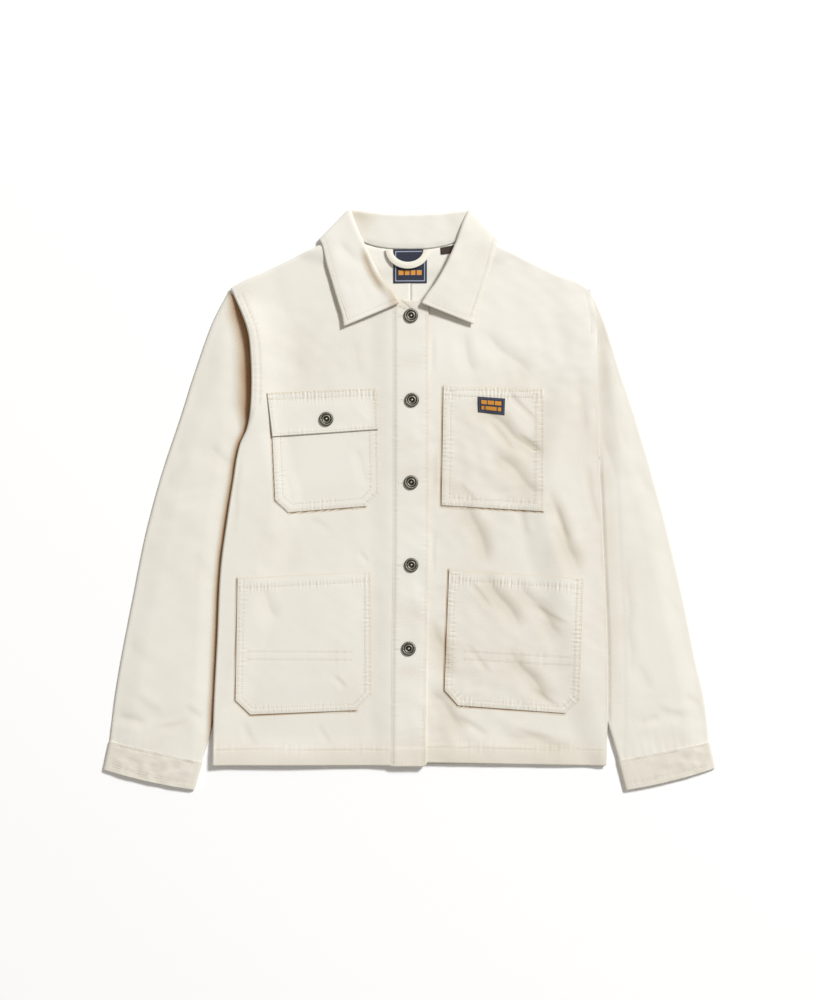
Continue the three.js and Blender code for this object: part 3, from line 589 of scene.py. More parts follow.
def right_top(x: Array, y: Array) -> Array:
    """The top of the wearer's right front."""
    return front_right_middle(x, y) + CLOTH / 2 + seams_relief(FRONT_SEAMS, x, y)


def placket_top(x: Array, y: Array) -> Array:
    """The top of the button band, which is almost flush where it is folded from the front."""
    into = x - along(PLACKET_EDGES, 1, y)
    return right_top(x, y) + mix(0.3, GAP + TRIM, smooth(0, 6, into))


def seams_relief(seams: Sequence[Seam], x: Array, y: Array) -> Array:
    """Height that several seams add together."""
    total = np.zeros(np.broadcast(x, y).shape)
    for seam in seams:
        total += seam.relief(x, y)
    return total


def inside_edge(side: Side, start: float, end: float, inset: float) -> tuple[Point, ...]:
    """A path up the side of the body, a distance inside its edge."""
    y = np.linspace(start, end, 14)
    x = left_edge(y) + inset if side is Side.RIGHT else right_edge(y) - inset
    return tuple(zip(x.tolist(), y.tolist()))


FRONT_SEAMS = (
    Seam(((-232, -299), (-20, -299)), 0.3, 1.0, 0.1, 6.5, 7, 1.0),
    Seam(((22, -296), (128, -298), (233, -299)), 0.3, 1.0, 0.15, 6, 7, 2.0),
    Seam(inside_edge(Side.RIGHT, 116, 246, 4.5), 0.3, 1.2, 0.2, 5, 4, 3.0),
    Seam(inside_edge(Side.RIGHT, 116, 246, 11.5), 0.3, 1.2, 0.2, 5, 4, 3.4),
    Seam(inside_edge(Side.LEFT, 200, 246, 6.5), 0.25, 1.4, 0.05, 7, 4, 4.0),
)
POCKETS = (CHEST_RIGHT, CHEST_LEFT, HIP_RIGHT, HIP_LEFT)


def pocket_dip_and_shadow(x: Array, y: Array) -> Array:
    """How close places are to the pockets' left and lower edges, where the cloth is pulled in a
    little and where the pockets' painted shadow falls.
    """
    near = np.zeros(np.broadcast(x, y).shape)
    for patch in POCKETS:
        edge = patch.sewn_edge()
        left_and_lower = edge[:-2] if patch.cut else edge[:-1]
        distance, _ = from_path(inset_path(left_and_lower, -0.8), x, y)
        near = np.maximum(near, bell(distance, 1.2))
    return near


# Meshes
def normals(grid: Array, tube: bool = False) -> Array:
    """Unit normals of a grid of points whose columns run across and rows up."""
    if tube:
        across = np.roll(grid, -1, axis=1) - np.roll(grid, 1, axis=1)
    else:
        across = np.gradient(grid, axis=1)
    normal = np.cross(across, np.gradient(grid, axis=0))
    return normal / np.linalg.norm(normal, axis=2)[:, :, None]


def make_mesh(name: str, points: Array, faces: Sequence[Array],
              smooth_arrays: int = 99) -> bpy.types.Object:
    """Makes a smooth-shaded mesh object.

    Args:
        name: the object's name.
        points: its points in millimetres, one a row.
        faces: arrays of corner numbers, one face a row, each array with one count of corners.
        smooth_arrays: how many of the arrays are shaded smooth, the rest being flat rims.

    Returns:
        The object, linked to the scene.
    """
    mesh = bpy.data.meshes.new(name)
    mesh.vertices.add(len(points))
    mesh.vertices.foreach_set("co", (points * 0.001).astype(np.float32).ravel())
    corners = np.concatenate([f.ravel() for f in faces]).astype(np.int32)
    totals = np.concatenate([np.full(len(f), f.shape[1]) for f in faces]).astype(np.int32)
    starts = np.concatenate([[0], np.cumsum(totals)[:-1]]).astype(np.int32)
    mesh.loops.add(len(corners))
    mesh.loops.foreach_set("vertex_index", corners)
    mesh.polygons.add(len(totals))
    mesh.polygons.foreach_set("loop_start", starts)
    mesh.polygons.foreach_set("loop_total", totals)
    soft = np.concatenate([np.full(len(f), i < smooth_arrays) for i, f in enumerate(faces)])
    mesh.polygons.foreach_set("use_smooth", soft)
    mesh.update(calc_edges=True)
    mesh.validate()
    thing = bpy.data.objects.new(name, mesh)
    bpy.context.scene.collection.objects.link(thing)
    return thing


def set_places(thing: bpy.types.Object, places: Array) -> None:
    """Gives a mesh a UV map from one place for each point, in metres along the cloth."""
    mesh = thing.data
    layer = mesh.uv_layers.new(name="cloth")
    index = np.empty(len(mesh.loops), dtype=np.int32)
    mesh.loops.foreach_get("vertex_index", index)
    layer.data.foreach_set("uv", (places[index] * 0.001).astype(np.float32).ravel())


def set_value(thing: bpy.types.Object, name: str, values: Array) -> None:
    """Stores one number for each point of a mesh, for its material."""
    store = thing.data.attributes.new(name, "FLOAT", "POINT")
    store.data.foreach_set("value", values.astype(np.float32).ravel())


@dataclass
class Wall:
    """A thin closed wall of cloth: a fine side that shows and a coarse side that is hidden.

    Attributes:
        shown: fine grid of points, its normals pointing out of the cloth.
        thick: thickness of the cloth, everywhere or at each point.
        tube: whether the columns close round on themselves.
        relief: seams and puckers to add to the side that shows, along its normals.
        cloth: places along the cloth for the weave, or None for x and y.
        tone_and_painted_light: how much lighter or darker the cloth's colour is at each point;
            mostly painted light and shade on seams, folds, edges and hollows, besides the paler
            thread and tape.
    """

    shown: Array
    thick: float | Array
    tube: bool = False
    relief: Array | None = None
    cloth: Array | None = None
    tone_and_painted_light: Array | None = None

    def build(self, name: str) -> bpy.types.Object:
        """Makes the mesh."""
        rows, columns = self.shown.shape[:2]
        normal = normals(self.shown, self.tube)
        upper = self.shown if self.relief is None else (
            self.shown + normal * self.relief[:, :, None])
        thick = np.broadcast_to(self.thick, self.shown.shape[:2])[:, :, None]
        hidden = (self.shown - normal * thick)[::COARSE, ::COARSE]
        low_rows, low_columns = hidden.shape[:2]
        start = rows * columns
        fine = np.arange(start).reshape(rows, columns)
        coarse = start + np.arange(low_rows * low_columns).reshape(low_rows, low_columns)
        if self.tube:
            fine = np.concatenate([fine, fine[:, :1]], axis=1)
            coarse = np.concatenate([coarse, coarse[:, :1]], axis=1)
        faces = [self.quads(fine), self.quads(coarse)[:, ::-1]]
        faces += [self.rim(fine[0], coarse[0]), self.rim(fine[-1], coarse[-1])[:, ::-1]]
        if not self.tube:
            faces += [self.rim(fine[:, 0], coarse[:, 0])[:, ::-1]]
            faces += [self.rim(fine[:, -1], coarse[:, -1])]
        points = np.concatenate([upper.reshape(-1, 3), hidden.reshape(-1, 3)])
        thing = make_mesh(name, points, faces, smooth_arrays=2)
        cloth = self.shown[:, :, :2] if self.cloth is None else self.cloth
        low_cloth = cloth[::COARSE, ::COARSE].reshape(-1, 2)
        set_places(thing, np.concatenate([cloth.reshape(-1, 2), low_cloth]))
        tone_and_painted_light = np.zeros((rows, columns)) if self.tone_and_painted_light is None else self.tone_and_painted_light
        set_value(thing, "tone_and_painted_light", np.concatenate([tone_and_painted_light.ravel(), np.zeros(len(low_cloth))]))
        return thing

    @staticmethod
    def quads(index: Array) -> Array:
        """Faces between neighbouring points of a grid."""
        parts = (index[:-1, :-1], index[:-1, 1:], index[1:, 1:], index[1:, :-1])
        return np.stack([p.ravel() for p in parts], axis=1)

    @staticmethod
    def rim(fine: Array, coarse: Array) -> Array:
        """Faces that join an edge of the fine side to the same edge of the coarse side."""
        first = np.arange(len(coarse) - 1) * COARSE
        edge = fine[first[:, None] + np.arange(COARSE + 1)[None, :]]
        return np.concatenate([edge[:, ::-1], coarse[:-1, None], coarse[1:, None]], axis=1)

    def area(self) -> float:
        """Area of the side that shows, in square metres."""
        across = np.diff(self.shown, axis=1)
        if self.tube:
            across = np.roll(self.shown, -1, axis=1) - self.shown
        up = np.diff(self.shown, axis=0)
        columns = min(across.shape[1], up.shape[1])
        cells = np.cross(across[:-1, :columns], up[:, :columns])
        return float(np.linalg.norm(cells, axis=2).sum()) * 1e-6


@dataclass
class Thread:
    """Collects the stitches of one group of seams and makes them as one mesh."""

    name: str
    pitch: float = 3.1
    half_length: float = 1.15
    radius: float = 0.38
    centres: list[Array] = field(default_factory=list)
    ways: list[Array] = field(default_factory=list)
    ups: list[Array] = field(default_factory=list)

    def sew(self, line: Array, up: Array | None = None) -> None:
        """Adds stitches along a line of points in space.

        Args:
            line: points on the cloth, close together.
            up: the cloth's normals there, or None for straight up.
        """
        steps = np.linalg.norm(np.diff(line, axis=0), axis=1)
        arc = np.concatenate([[0], np.cumsum(steps)])
        count = int(arc[-1] // self.pitch)
        if count < 1:
            return
        at = (np.arange(count) + 0.5) * (arc[-1] / count)
        ends = [np.stack([np.interp(at + s, arc, line[:, k]) for k in range(3)], axis=1)
                for s in (-self.half_length, self.half_length)]
        way = ends[1] - ends[0]
        self.centres.append((ends[0] + ends[1]) / 2)
        self.ways.append(way / np.linalg.norm(way, axis=1)[:, None])
        if up is None:
            self.ups.append(np.tile([0.0, 0.0, 1.0], (count, 1)))
        else:
            self.ups.append(np.stack([np.interp(at, arc, up[:, k]) for k in range(3)], axis=1))

    def sew_flat(self, path: Sequence[Point], top: Height) -> None:
        """Adds stitches along a path in plan on a surface that top gives the height of."""
        corners = np.array(path, dtype=float)
        length = np.linalg.norm(np.diff(corners, axis=0), axis=1)
        arc = np.concatenate([[0], np.cumsum(length)])
        at = np.arange(0.0, arc[-1], 0.8)
        x, y = np.interp(at, arc, corners[:, 0]), np.interp(at, arc, corners[:, 1])
        self.sew(np.stack([x, y, top(x, y) + 0.12], axis=1))

    def build(self) -> bpy.types.Object:
        """Makes all the stitches: short rounded lengths of thread, a little sunk in the cloth."""
        centre, way, up = (np.concatenate(a) for a in (self.centres, self.ways, self.ups))
        side = np.cross(way, up)
        side /= np.linalg.norm(side, axis=1)[:, None]
        up = np.cross(side, way)
        places = np.array([-1.0, -0.62, 0.62, 1.0])
        round_share = np.array([0.35, 1.0, 1.0, 0.35])
        sink = np.array([-0.3, 0.0, 0.0, -0.3])
        angle = np.arange(6) / 6 * 2 * math.pi
        a = (places * self.half_length)[None, :, None, None] * way[:, None, None, :]
        b = (round_share[:, None] * np.cos(angle))[None, :, :, None] * side[:, None, None, :]
        high = round_share[:, None] * np.sin(angle) * 0.8 + sink[:, None]
        c = high[None, :, :, None] * up[:, None, None, :]
        points = centre[:, None, None, :] + a + (b + c) * self.radius
        index = np.arange(24).reshape(4, 6)
        round_index = np.concatenate([index, index[:, :1]], axis=1)
        body = Wall.quads(round_index)[:, ::-1]
        shift = (np.arange(len(centre)) * 24)[:, None, None]
        sides = (body[None] + shift).reshape(-1, 4)
        ends = (np.stack([index[0], index[-1, ::-1]])[None] + shift).reshape(-1, 6)
        thing = make_mesh(self.name, points.reshape(-1, 3), [sides, ends])
        set_places(thing, points.reshape(-1, 3)[:, :2])
        set_value(thing, "tone_and_painted_light", np.full(len(thing.data.vertices), 0.25))
        return thing


# Finishes
def linear(code: str) -> tuple[float, float, float, float]:
    """A hex colour as the linear numbers that shaders take."""
    parts = [int(code[i:i + 2], 16) / 255 for i in (1, 3, 5)]
    return (*(p / 12.92 if p <= 0.04045 else ((p + 0.055) / 1.055) ** 2.4 for p in parts), 1.0)


def add_node(tree: bpy.types.NodeTree, kind: str, settings: dict | None = None,
             inputs: dict | None = None) -> bpy.types.Node:
    """Adds a shader node.

    Args:
        tree: the material's node tree.
        kind: the node's type name.
        settings: attributes of the node.
        inputs: input names or numbers, with a value or with the socket that feeds them.

    Returns:
        The node.
    """
    node = tree.nodes.new(kind)
    for key, value in (settings or {}).items():
        setattr(node, key, value)
    for key, value in (inputs or {}).items():
        if isinstance(value, bpy.types.NodeSocket):
            tree.links.new(value, node.inputs[key])
        else:
            node.inputs[key].default_value = value
    return node


def new_material(name: str) -> tuple[bpy.types.Material, bpy.types.NodeTree]:
    """An empty material with its node tree."""
    material = bpy.data.materials.new(name)
    material.use_nodes = True
    material.node_tree.nodes.clear()
    return material, material.node_tree


def math_node(tree: bpy.types.NodeTree, operation: str, *values: Number) -> bpy.types.NodeSocket:
    """The result of one sum on numbers or sockets."""
    node = add_node(tree, "ShaderNodeMath", {"operation": operation}, dict(enumerate(values)))
    return node.outputs[0]


@dataclass(frozen=True)
class ClothFinish:
    """Woven cotton: twill, a little colour drift, and paler or darker places that are mostly painted
    light and shade.

    Attributes:
        name: the material's name.
        base: the cloth's own colour.
        pale: its lighter colour, for the paler thread and for painted light on edges and ridges.
        deep: painted shade, its darker colour in creases, folds and along seams and edges.
        hollow: painted shadow, a brown that stands in for the shade in the hollow beside the body.
        wale: distance between the twill's ridges, in metres.
        weave: strength of the weave's bump.
        drift: how far the colour wanders.
    """

    name: str
    base: str
    pale: str
    deep: str
    hollow: str = "#a2764d"
    wale: float = 0.0009
    weave: float = 0.35
    drift: float = 0.22

    def build(self) -> bpy.types.Material:
        """Makes the material."""
        material, tree = new_material(self.name)
        cloth = add_node(tree, "ShaderNodeUVMap", {"uv_map": "cloth"}).outputs["UV"]
        tone_and_painted_light = add_node(tree, "ShaderNodeAttribute", {"attribute_name": "tone_and_painted_light"}).outputs["Fac"]
        scale = 2 * math.pi / (10 * math.sqrt(2) * self.wale)
        twill = add_node(tree, "ShaderNodeTexWave", {"bands_direction": "DIAGONAL"}, {
            "Vector": cloth, "Scale": scale, "Distortion": 1.2, "Detail": 2.0,
            "Detail Scale": 1.5}).outputs["Fac"]
        slub = add_node(tree, "ShaderNodeTexNoise", None, {
            "Vector": cloth, "Scale": 900.0, "Detail": 3.0, "Roughness": 0.6}).outputs["Fac"]
        patchy = add_node(tree, "ShaderNodeTexNoise", None, {
            "Vector": cloth, "Scale": 9.0, "Detail": 4.0, "Roughness": 0.55}).outputs["Fac"]
        centred = math_node(tree, "SUBTRACT", patchy, 0.5)
        shade = math_node(tree, "MULTIPLY_ADD", centred, self.drift, 0.5)
        # The tone_and_painted_light attribute moves the colour along the ramp: down towards the deep
        # painted shade and the hollow's painted shadow, up towards the pale painted light.
        shade = math_node(tree, "ADD", shade, math_node(tree, "MULTIPLY", tone_and_painted_light, 0.5))
        speck = math_node(tree, "MULTIPLY", math_node(tree, "SUBTRACT", slub, 0.5), 0.35)
        shade = math_node(tree, "ADD", shade, speck)
        colour = add_node(tree, "ShaderNodeValToRGB", None, {"Fac": shade})
        ramp = colour.color_ramp
        ramp.elements[0].position, ramp.elements[0].color = 0.0, linear(self.hollow)
        ramp.elements[1].position, ramp.elements[1].color = 1.0, linear(self.pale)
        ramp.elements.new(0.28).color = linear(self.deep)
        ramp.elements.new(0.5).color = linear(self.base)
        height = math_node(tree, "ADD", twill, math_node(tree, "MULTIPLY", slub, 0.8))
        bump = add_node(tree, "ShaderNodeBump", None, {
            "Strength": self.weave, "Distance": 0.00012, "Height": height}).outputs["Normal"]
        shader = add_node(tree, "ShaderNodeBsdfPrincipled", None, {
            "Base Color": colour.outputs["Color"], "Roughness": 0.92, "Normal": bump,
            "Specular IOR Level": 0.2, "Sheen Weight": 0.12, "Sheen Roughness": 0.5})
        add_node(tree, "ShaderNodeOutputMaterial", None, {"Surface": shader.outputs["BSDF"]})
        return material


@dataclass(frozen=True)
class LabelFinish:
    """A woven label: a dark ground, a pale border line and a bright bare motif."""

    name: str
    ground: str
    border: str
    motif: str

    def build(self) -> bpy.types.Material:
        """Makes the material."""
        material, tree = new_material(self.name)
        cloth = add_node(tree, "ShaderNodeUVMap", {"uv_map": "cloth"}).outputs["UV"]
        ink = add_node(tree, "ShaderNodeAttribute", {"attribute_name": "ink"}).outputs["Fac"]
        threads = add_node(tree, "ShaderNodeTexWave", {"bands_direction": "Y"}, {
            "Vector": cloth, "Scale": 2 * math.pi / (20 * 0.0006), "Distortion": 0.6,
        }).outputs["Fac"]
        colour = add_node(tree, "ShaderNodeValToRGB", None, {"Fac": ink})
        ramp = colour.color_ramp
        ramp.elements[0].position, ramp.elements[0].color = 0.0, linear(self.ground)
        ramp.elements[1].position, ramp.elements[1].color = 1.0, linear(self.motif)
        ramp.elements.new(0.5).color = linear(self.border)
        shaded = add_node(tree, "ShaderNodeHueSaturation", None, {
            "Color": colour.outputs["Color"],
            "Value": math_node(tree, "ADD", math_node(tree, "MULTIPLY", threads, 0.3), 0.85)})
        bump = add_node(tree, "ShaderNodeBump", None, {
            "Strength": 0.6, "Distance": 0.00015, "Height": threads}).outputs["Normal"]
        shader = add_node(tree, "ShaderNodeBsdfPrincipled", None, {
            "Base Color": shaded.outputs["Color"], "Roughness": 0.7, "Normal": bump,
            "Sheen Weight": 0.1})
        add_node(tree, "ShaderNodeOutputMaterial", None, {"Surface": shader.outputs["BSDF"]})
        return material


@dataclass(frozen=True)
class PewterFinish:
    """Antique pewter: dark in the hollows, rubbed bright on the raised parts."""

    name: str = "antique pewter"
    dark: str = "#3a3833"
    bright: str = "#bdb8a8"

    def build(self) -> bpy.types.Material:
        """Makes the material."""
        material, tree = new_material(self.name)
        place = add_node(tree, "ShaderNodeTexCoord").outputs["Object"]
        rubbed = add_node(tree, "ShaderNodeAttribute", {"attribute_name": "rubbed"})
        mottle = add_node(tree, "ShaderNodeTexNoise", None, {
            "Vector": place, "Scale": 1400.0, "Detail": 4.0}).outputs["Fac"]
        share = math_node(tree, "MULTIPLY_ADD", mottle, 0.5, -0.25)
        share = math_node(tree, "ADD", share, rubbed.outputs["Fac"])
        colour = add_node(tree, "ShaderNodeValToRGB", None, {"Fac": share})
        ramp = colour.color_ramp
        ramp.elements[0].position, ramp.elements[0].color = 0.1, linear(self.dark)
        ramp.elements[1].position, ramp.elements[1].color = 0.95, linear(self.bright)
        rough = math_node(tree, "MULTIPLY_ADD", mottle, 0.3, 0.25)
        bump = add_node(tree, "ShaderNodeBump", None, {
            "Strength": 0.3, "Distance": 0.0001, "Height": mottle}).outputs["Normal"]
        shader = add_node(tree, "ShaderNodeBsdfPrincipled", None, {
            "Base Color": colour.outputs["Color"], "Metallic": 0.9, "Roughness": rough,
            "Normal": bump})
        add_node(tree, "ShaderNodeOutputMaterial", None, {"Surface": shader.outputs["BSDF"]})
        return material


class Wardrobe:
    """Puts finished pieces on the frame with their materials."""

    def __init__(self) -> None:
        # The canvas's pale, deep and hollow colours are its painted light, painted shade and painted
        # shadow.
        canvas = ClothFinish("washed canvas", "#e8e4da", "#f5f2ea", "#d0c6b4")
        tape = ClothFinish("cotton tape", "#ece7d9", "#f7f4ea", "#cfc6b0", wale=0.0006)
        neck = LabelFinish("navy woven label", "#262b3d", "#a9afc4", "#e79a28")
        patch = LabelFinish("navy woven patch", "#242838", "#3d445c", "#cf8a22")
        size = LabelFinish("brown woven label", "#3a2722", "#3a2722", "#3a2722")
        self.materials = {
            Slot.CANVAS: canvas.build(),
            Slot.TAPE: tape.build(),
            Slot.NECK: neck.build(),
            Slot.PATCH: patch.build(),
            Slot.SIZE: size.build(),
            Slot.PEWTER: PewterFinish().build(),
        }

    def hang(self, thing: bpy.types.Object, slot: Slot, *nodes: str) -> bpy.types.Object:
        """Gives a piece its material and body, and hides the solids of the nodes that it stands for.
        """
        thing.data.materials.append(self.materials[slot])
        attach(thing, "root")
        if nodes:
            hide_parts(*nodes)
        log.info("%s, finish %s, %d faces", thing.name, slot.value, len(thing.data.polygons))
        return thing

    def cloth(self, wall: Wall, node: str, flat: Point, rests_on: Sequence[str],
              slot: Slot = Slot.CANVAS) -> bpy.types.Object:
        """Args:
            wall: the cloth's form.
            node: the solid that it stands for.
            flat: width and length of the cut, in millimetres.
            rests_on: what it lies on; not used.
            slot: its finish.

        Returns:
            The piece.
        """
        thing = self.hang(wall.build(f"{node}_cloth"), slot, node)
        width, length = flat[0] * 0.001, flat[1] * 0.001
        area = min(wall.area(), width * length)
        return thing


# The body
@dataclass(frozen=True)
class Back:
    """One half of the back, from the centre seam to the side."""

    side: Side
    rows: int = 184
    columns: int = 64

    def wall(self) -> Wall:
        """The half's form."""
        sign = self.side.value
        seam_x = sign * BACK_SEAM_X + 0.03
        y_tip = BODY_EDGES[-1, 0]
        v = np.linspace(0, 1, self.rows + 1)[:, None]
        u = np.linspace(0, 1, self.columns + 1)[None, :]
        side_y = mix(BACK_HEM_Y, y_tip, v)
        reach = side_edge(self.side, side_y) - ARMHOLE_INSET * smooth(48, 66, side_y)
        x = mix(seam_x, reach, u)
        top_x = mix(seam_x, side_edge(self.side, y_tip) - ARMHOLE_INSET, u)
        centre_top = BACK_TOP[0, 1]
        ruled = mix(mix(BACK_HEM_Y, centre_top, v), side_y, u)
        corner = mix(BACK_HEM_Y, mix(centre_top, y_tip, u), v)
        y = ruled + mix(BACK_HEM_Y, along(BACK_TOP, 1, np.abs(top_x)), v) - corner
        x = sign * x
        grid = np.stack([x, y, back_top(x, y)], axis=2)
        off_seam = x - BACK_SEAM_X
        grid[:, :, 2] += 0.3 * smooth(3.5, 0.5, off_seam) * smooth(-16.0, 0, off_seam)
        below_neck = along(BACK_TOP, 1, np.abs(x)) - y
        # The back is a little lighter all over; the lighter band under the collar's edge is painted
        # light over that edge's shadow, the pale band beside the centre seam a painted highlight,
        # and the darker side rim painted shade over the rim that faces the lamp.
        tone_and_painted_light = 0.3 + 0.5 * bell(below_neck - 2.6, 1.5)
        tone_and_painted_light = tone_and_painted_light + 0.3 * bell(off_seam - 1.4, 1.4)
        tone_and_painted_light = tone_and_painted_light - 0.45 * bell(reach - np.abs(x), 3.0)
        if sign < 0:
            grid, tone_and_painted_light = grid[:, ::-1], tone_and_painted_light[:, ::-1]
        return Wall(grid, CLOTH, tone_and_painted_light=tone_and_painted_light)


@dataclass(frozen=True)
class Front:
    """One front panel, rolled down to the back at its side and shoulder.

    Attributes:
        side: the wearer's side.
        inner: how far from the middle its inner edge lies, less than 0 past the middle.
        side_reach: width of the roll at its side.
        spacing: distance between points on its flat.
        shoulder_reach: width of the roll at its shoulder.
    """

    side: Side
    inner: float
    side_reach: float
    spacing: float = 1.9
    shoulder_reach: float = 4.0

    def across(self, width: float) -> Array:
        """Distances from the side edge to the middle, close together on the roll."""
        steps = 7
        turn = np.arange(steps + 1) / steps * math.pi / 2
        roll = CLOTH / 2 + self.side_reach * (1 - np.cos(turn))
        count = round((width - roll[-1]) / self.spacing)
        count += -(count + steps) % COARSE
        return np.concatenate([roll[:-1], np.linspace(roll[-1], width, count + 1)])

    def up(self, height: float) -> Array:
        """Distances from the hem to the top, close together at both ends."""
        steps = 7
        turn = np.arange(steps + 1) / steps * math.pi / 2
        roll = SHOULDER_SLANT * (CLOTH / 2 + self.shoulder_reach * (1 - np.cos(turn)))
        hem = np.array([0.0, 0.2, 0.6, 1.1, 1.8])
        count = round((height - roll[-1] - hem[-1]) / self.spacing)
        count += -(count + steps + len(hem) - 1) % COARSE
        middle = np.linspace(hem[-1], height - roll[-1], count + 1)
        return np.concatenate([hem[:-1], middle, (height - roll[:-1])[::-1]])

    def wall(self) -> Wall:
        """The panel's form."""
        sign = self.side.value
        tip_y = BODY_EDGES[-1, 0]
        inner_x = sign * self.inner
        near_y = float(hem_line(sign * NEAR_SIDE))
        middle_y = float(hem_line(inner_x))
        top = float(along(FRONT_TOP, 1, abs(inner_x)))
        width = float(side_edge(self.side, near_y)) - self.inner
        across, climb = self.across(width), self.up(top - middle_y)
        u = ((across - across[0]) / (width - across[0]))[None, :]
        v = (climb / climb[-1])[:, None]
        inset = top - middle_y - climb[-1]
        side_y = mix(near_y, tip_y, v)
        hem_x = mix(side_edge(self.side, near_y) - CLOTH / 2, self.inner, u)
        top_x = mix(side_edge(self.side, tip_y) - CLOTH / 2, self.inner, u)
        x = mix(side_edge(self.side, side_y) - CLOTH / 2, self.inner, u)
        top_y = along(FRONT_TOP, 1, np.abs(top_x)) - inset * smooth(60, 70, top_x)
        ruled = mix(side_y, mix(middle_y, top, v), u)
        corner = mix(mix(near_y, middle_y, u), mix(tip_y, top, u), v)
        y = ruled + mix(hem_line(sign * hem_x), top_y, v) - corner
        x = sign * x
        by_side = self.roll(across[None, :], self.side_reach)
        fall = self.roll((top - middle_y - climb[:, None]) / SHOULDER_SLANT, self.shoulder_reach)
        on_flat = by_side * mix(1, fall, smooth(62, 68, top_x))
        flat = (front_right_middle if sign < 0 else front_middle)(x, y)
        z = mix(rolled_edge(x, y), flat, on_flat)
        grid = np.stack([x, y, z], axis=2)
        if sign > 0:
            grid = grid[:, ::-1]
            on_flat = on_flat[:, ::-1]
        middle = grid + normals(grid) * CLOTH / 2
        relief = seams_relief(FRONT_SEAMS, grid[:, :, 0], grid[:, :, 1]) * on_flat
        hem_round = rounding(climb, 0.7, 1.4)
        line = pocket_dip_and_shadow(grid[:, :, 0], grid[:, :, 1])
        # Painted light and shade: darker in the seams' grooves and lighter on their puckers, a
        # painted shadow along the pockets' left and lower edges, and painted shade in the folds.
        tone_and_painted_light = np.clip(relief / 0.3, -1, 1) * 0.26 - 0.9 * line
        tone_and_painted_light = tone_and_painted_light + painted_fold_shade_and_tone(grid[:, :, 0], grid[:, :, 1])
        # Painted shade on the side roll of the wearer's left front, which faces the lamp, and a
        # painted highlight along the side edge of the wearer's right front.
        if sign > 0:
            tone_and_painted_light = tone_and_painted_light - 0.15 * bell(across[None, ::-1], 2.5)
        else:
            tone_and_painted_light = tone_and_painted_light + 0.6 * bell(across[None, :], 2.4)
        relief = relief - 0.3 * line
        return Wall(middle, CLOTH, relief=relief - hem_round[:, None], tone_and_painted_light=tone_and_painted_light)

    @staticmethod
    def roll(distance: Array, reach: float) -> Array:
        """A quarter turn from the seam, 0, up to the flat of the cloth, 1."""
        t = np.clip((distance - CLOTH / 2) / reach, 0, 1)
        return np.sqrt(1 - (1 - t) ** 2)


@dataclass(frozen=True)
class Placket:
    """The button band on the edge of the wearer's right front."""

    length: float = 552.0
    width: float = 42.0
    rows: int = 400
    columns: int = 36

    def seams(self) -> list[Seam]:
        """The rows at its fold and its free edge, and the two lines that cross at the neck."""
        y = np.linspace(-318, 232, 12)
        left = along(PLACKET_EDGES, 1, y) + 1.6
        right = along(PLACKET_EDGES, 2, y) - 3.6
        rows = [tuple(zip(e.tolist(), y.tolist())) for e in (left, right)]
        fold = ((-12.0, 242.0), (3.6, 229.0))
        under = ((-18.2, 234.4), (-4.0, 229.0))
        return [Seam(rows[0], 0.28, 0.8, 0.16, 5.6, 7, 1.4),
                Seam(rows[1], 0.28, 0.8, 0.14, 5.2, 6, 2.6),
                Seam(fold, 0.5, 0.6, sewn=False), Seam(under, 0.4, 0.5, sewn=False)]

    def sewn_rows(self) -> list[Seam]:
        """The seams of the band that have stitches."""
        return [seam for seam in self.seams() if seam.sewn]

    def top(self, x: Array, y: Array) -> Array:
        """The top of the band, drawn in at its rows of stitches."""
        return placket_top(x, y) + seams_relief(self.sewn_rows(), x, y)

    def wall(self) -> Wall:
        """The band's form."""
        v = (graded(self.length, self.length / self.rows) / self.length)[:, None]
        u = (graded(self.width, self.width / self.columns) / self.width)[None, :]
        bottom = PLACKET_EDGES[0, 0]
        level = mix(bottom, 236.0, v)
        left, right = along(PLACKET_EDGES, 1, level), along(PLACKET_EDGES, 2, level)
        x = mix(left, right, u)
        y = mix(bottom, mix(241.5, 238.0, u), v)
        relief = seams_relief(self.seams(), x, y)
        edge = np.minimum(right - x, np.minimum(y - bottom, 240 - y) + 0 * x)
        relief -= rounding(edge, 0.9, 1.6)
        crease = np.sin(y / 9.0 + 1.4 * np.sin(y / 31)) * np.sin(y / 23 + 0.8)
        relief += 0.24 * crease * np.sin(math.pi * np.clip(u, 0, 1))
        grid = np.stack([x, y, placket_top(x, y)], axis=2)
        lines = seams_relief(self.seams()[2:], x, y)
        # Painted shade: darker in the band's grooves and in the two lines at the neck, lighter on
        # its puckers, darker along the rounded rim of its free edge, and darker at the hem.
        tone_and_painted_light = np.clip(relief / 0.3, -1, 1) * 0.13 + 1.2 * lines - hem_darkening(x, y)
        tone_and_painted_light = tone_and_painted_light - 0.3 * bell(right - x, 1.3)
        return Wall(grid, TRIM, relief=relief, tone_and_painted_light=tone_and_painted_light)


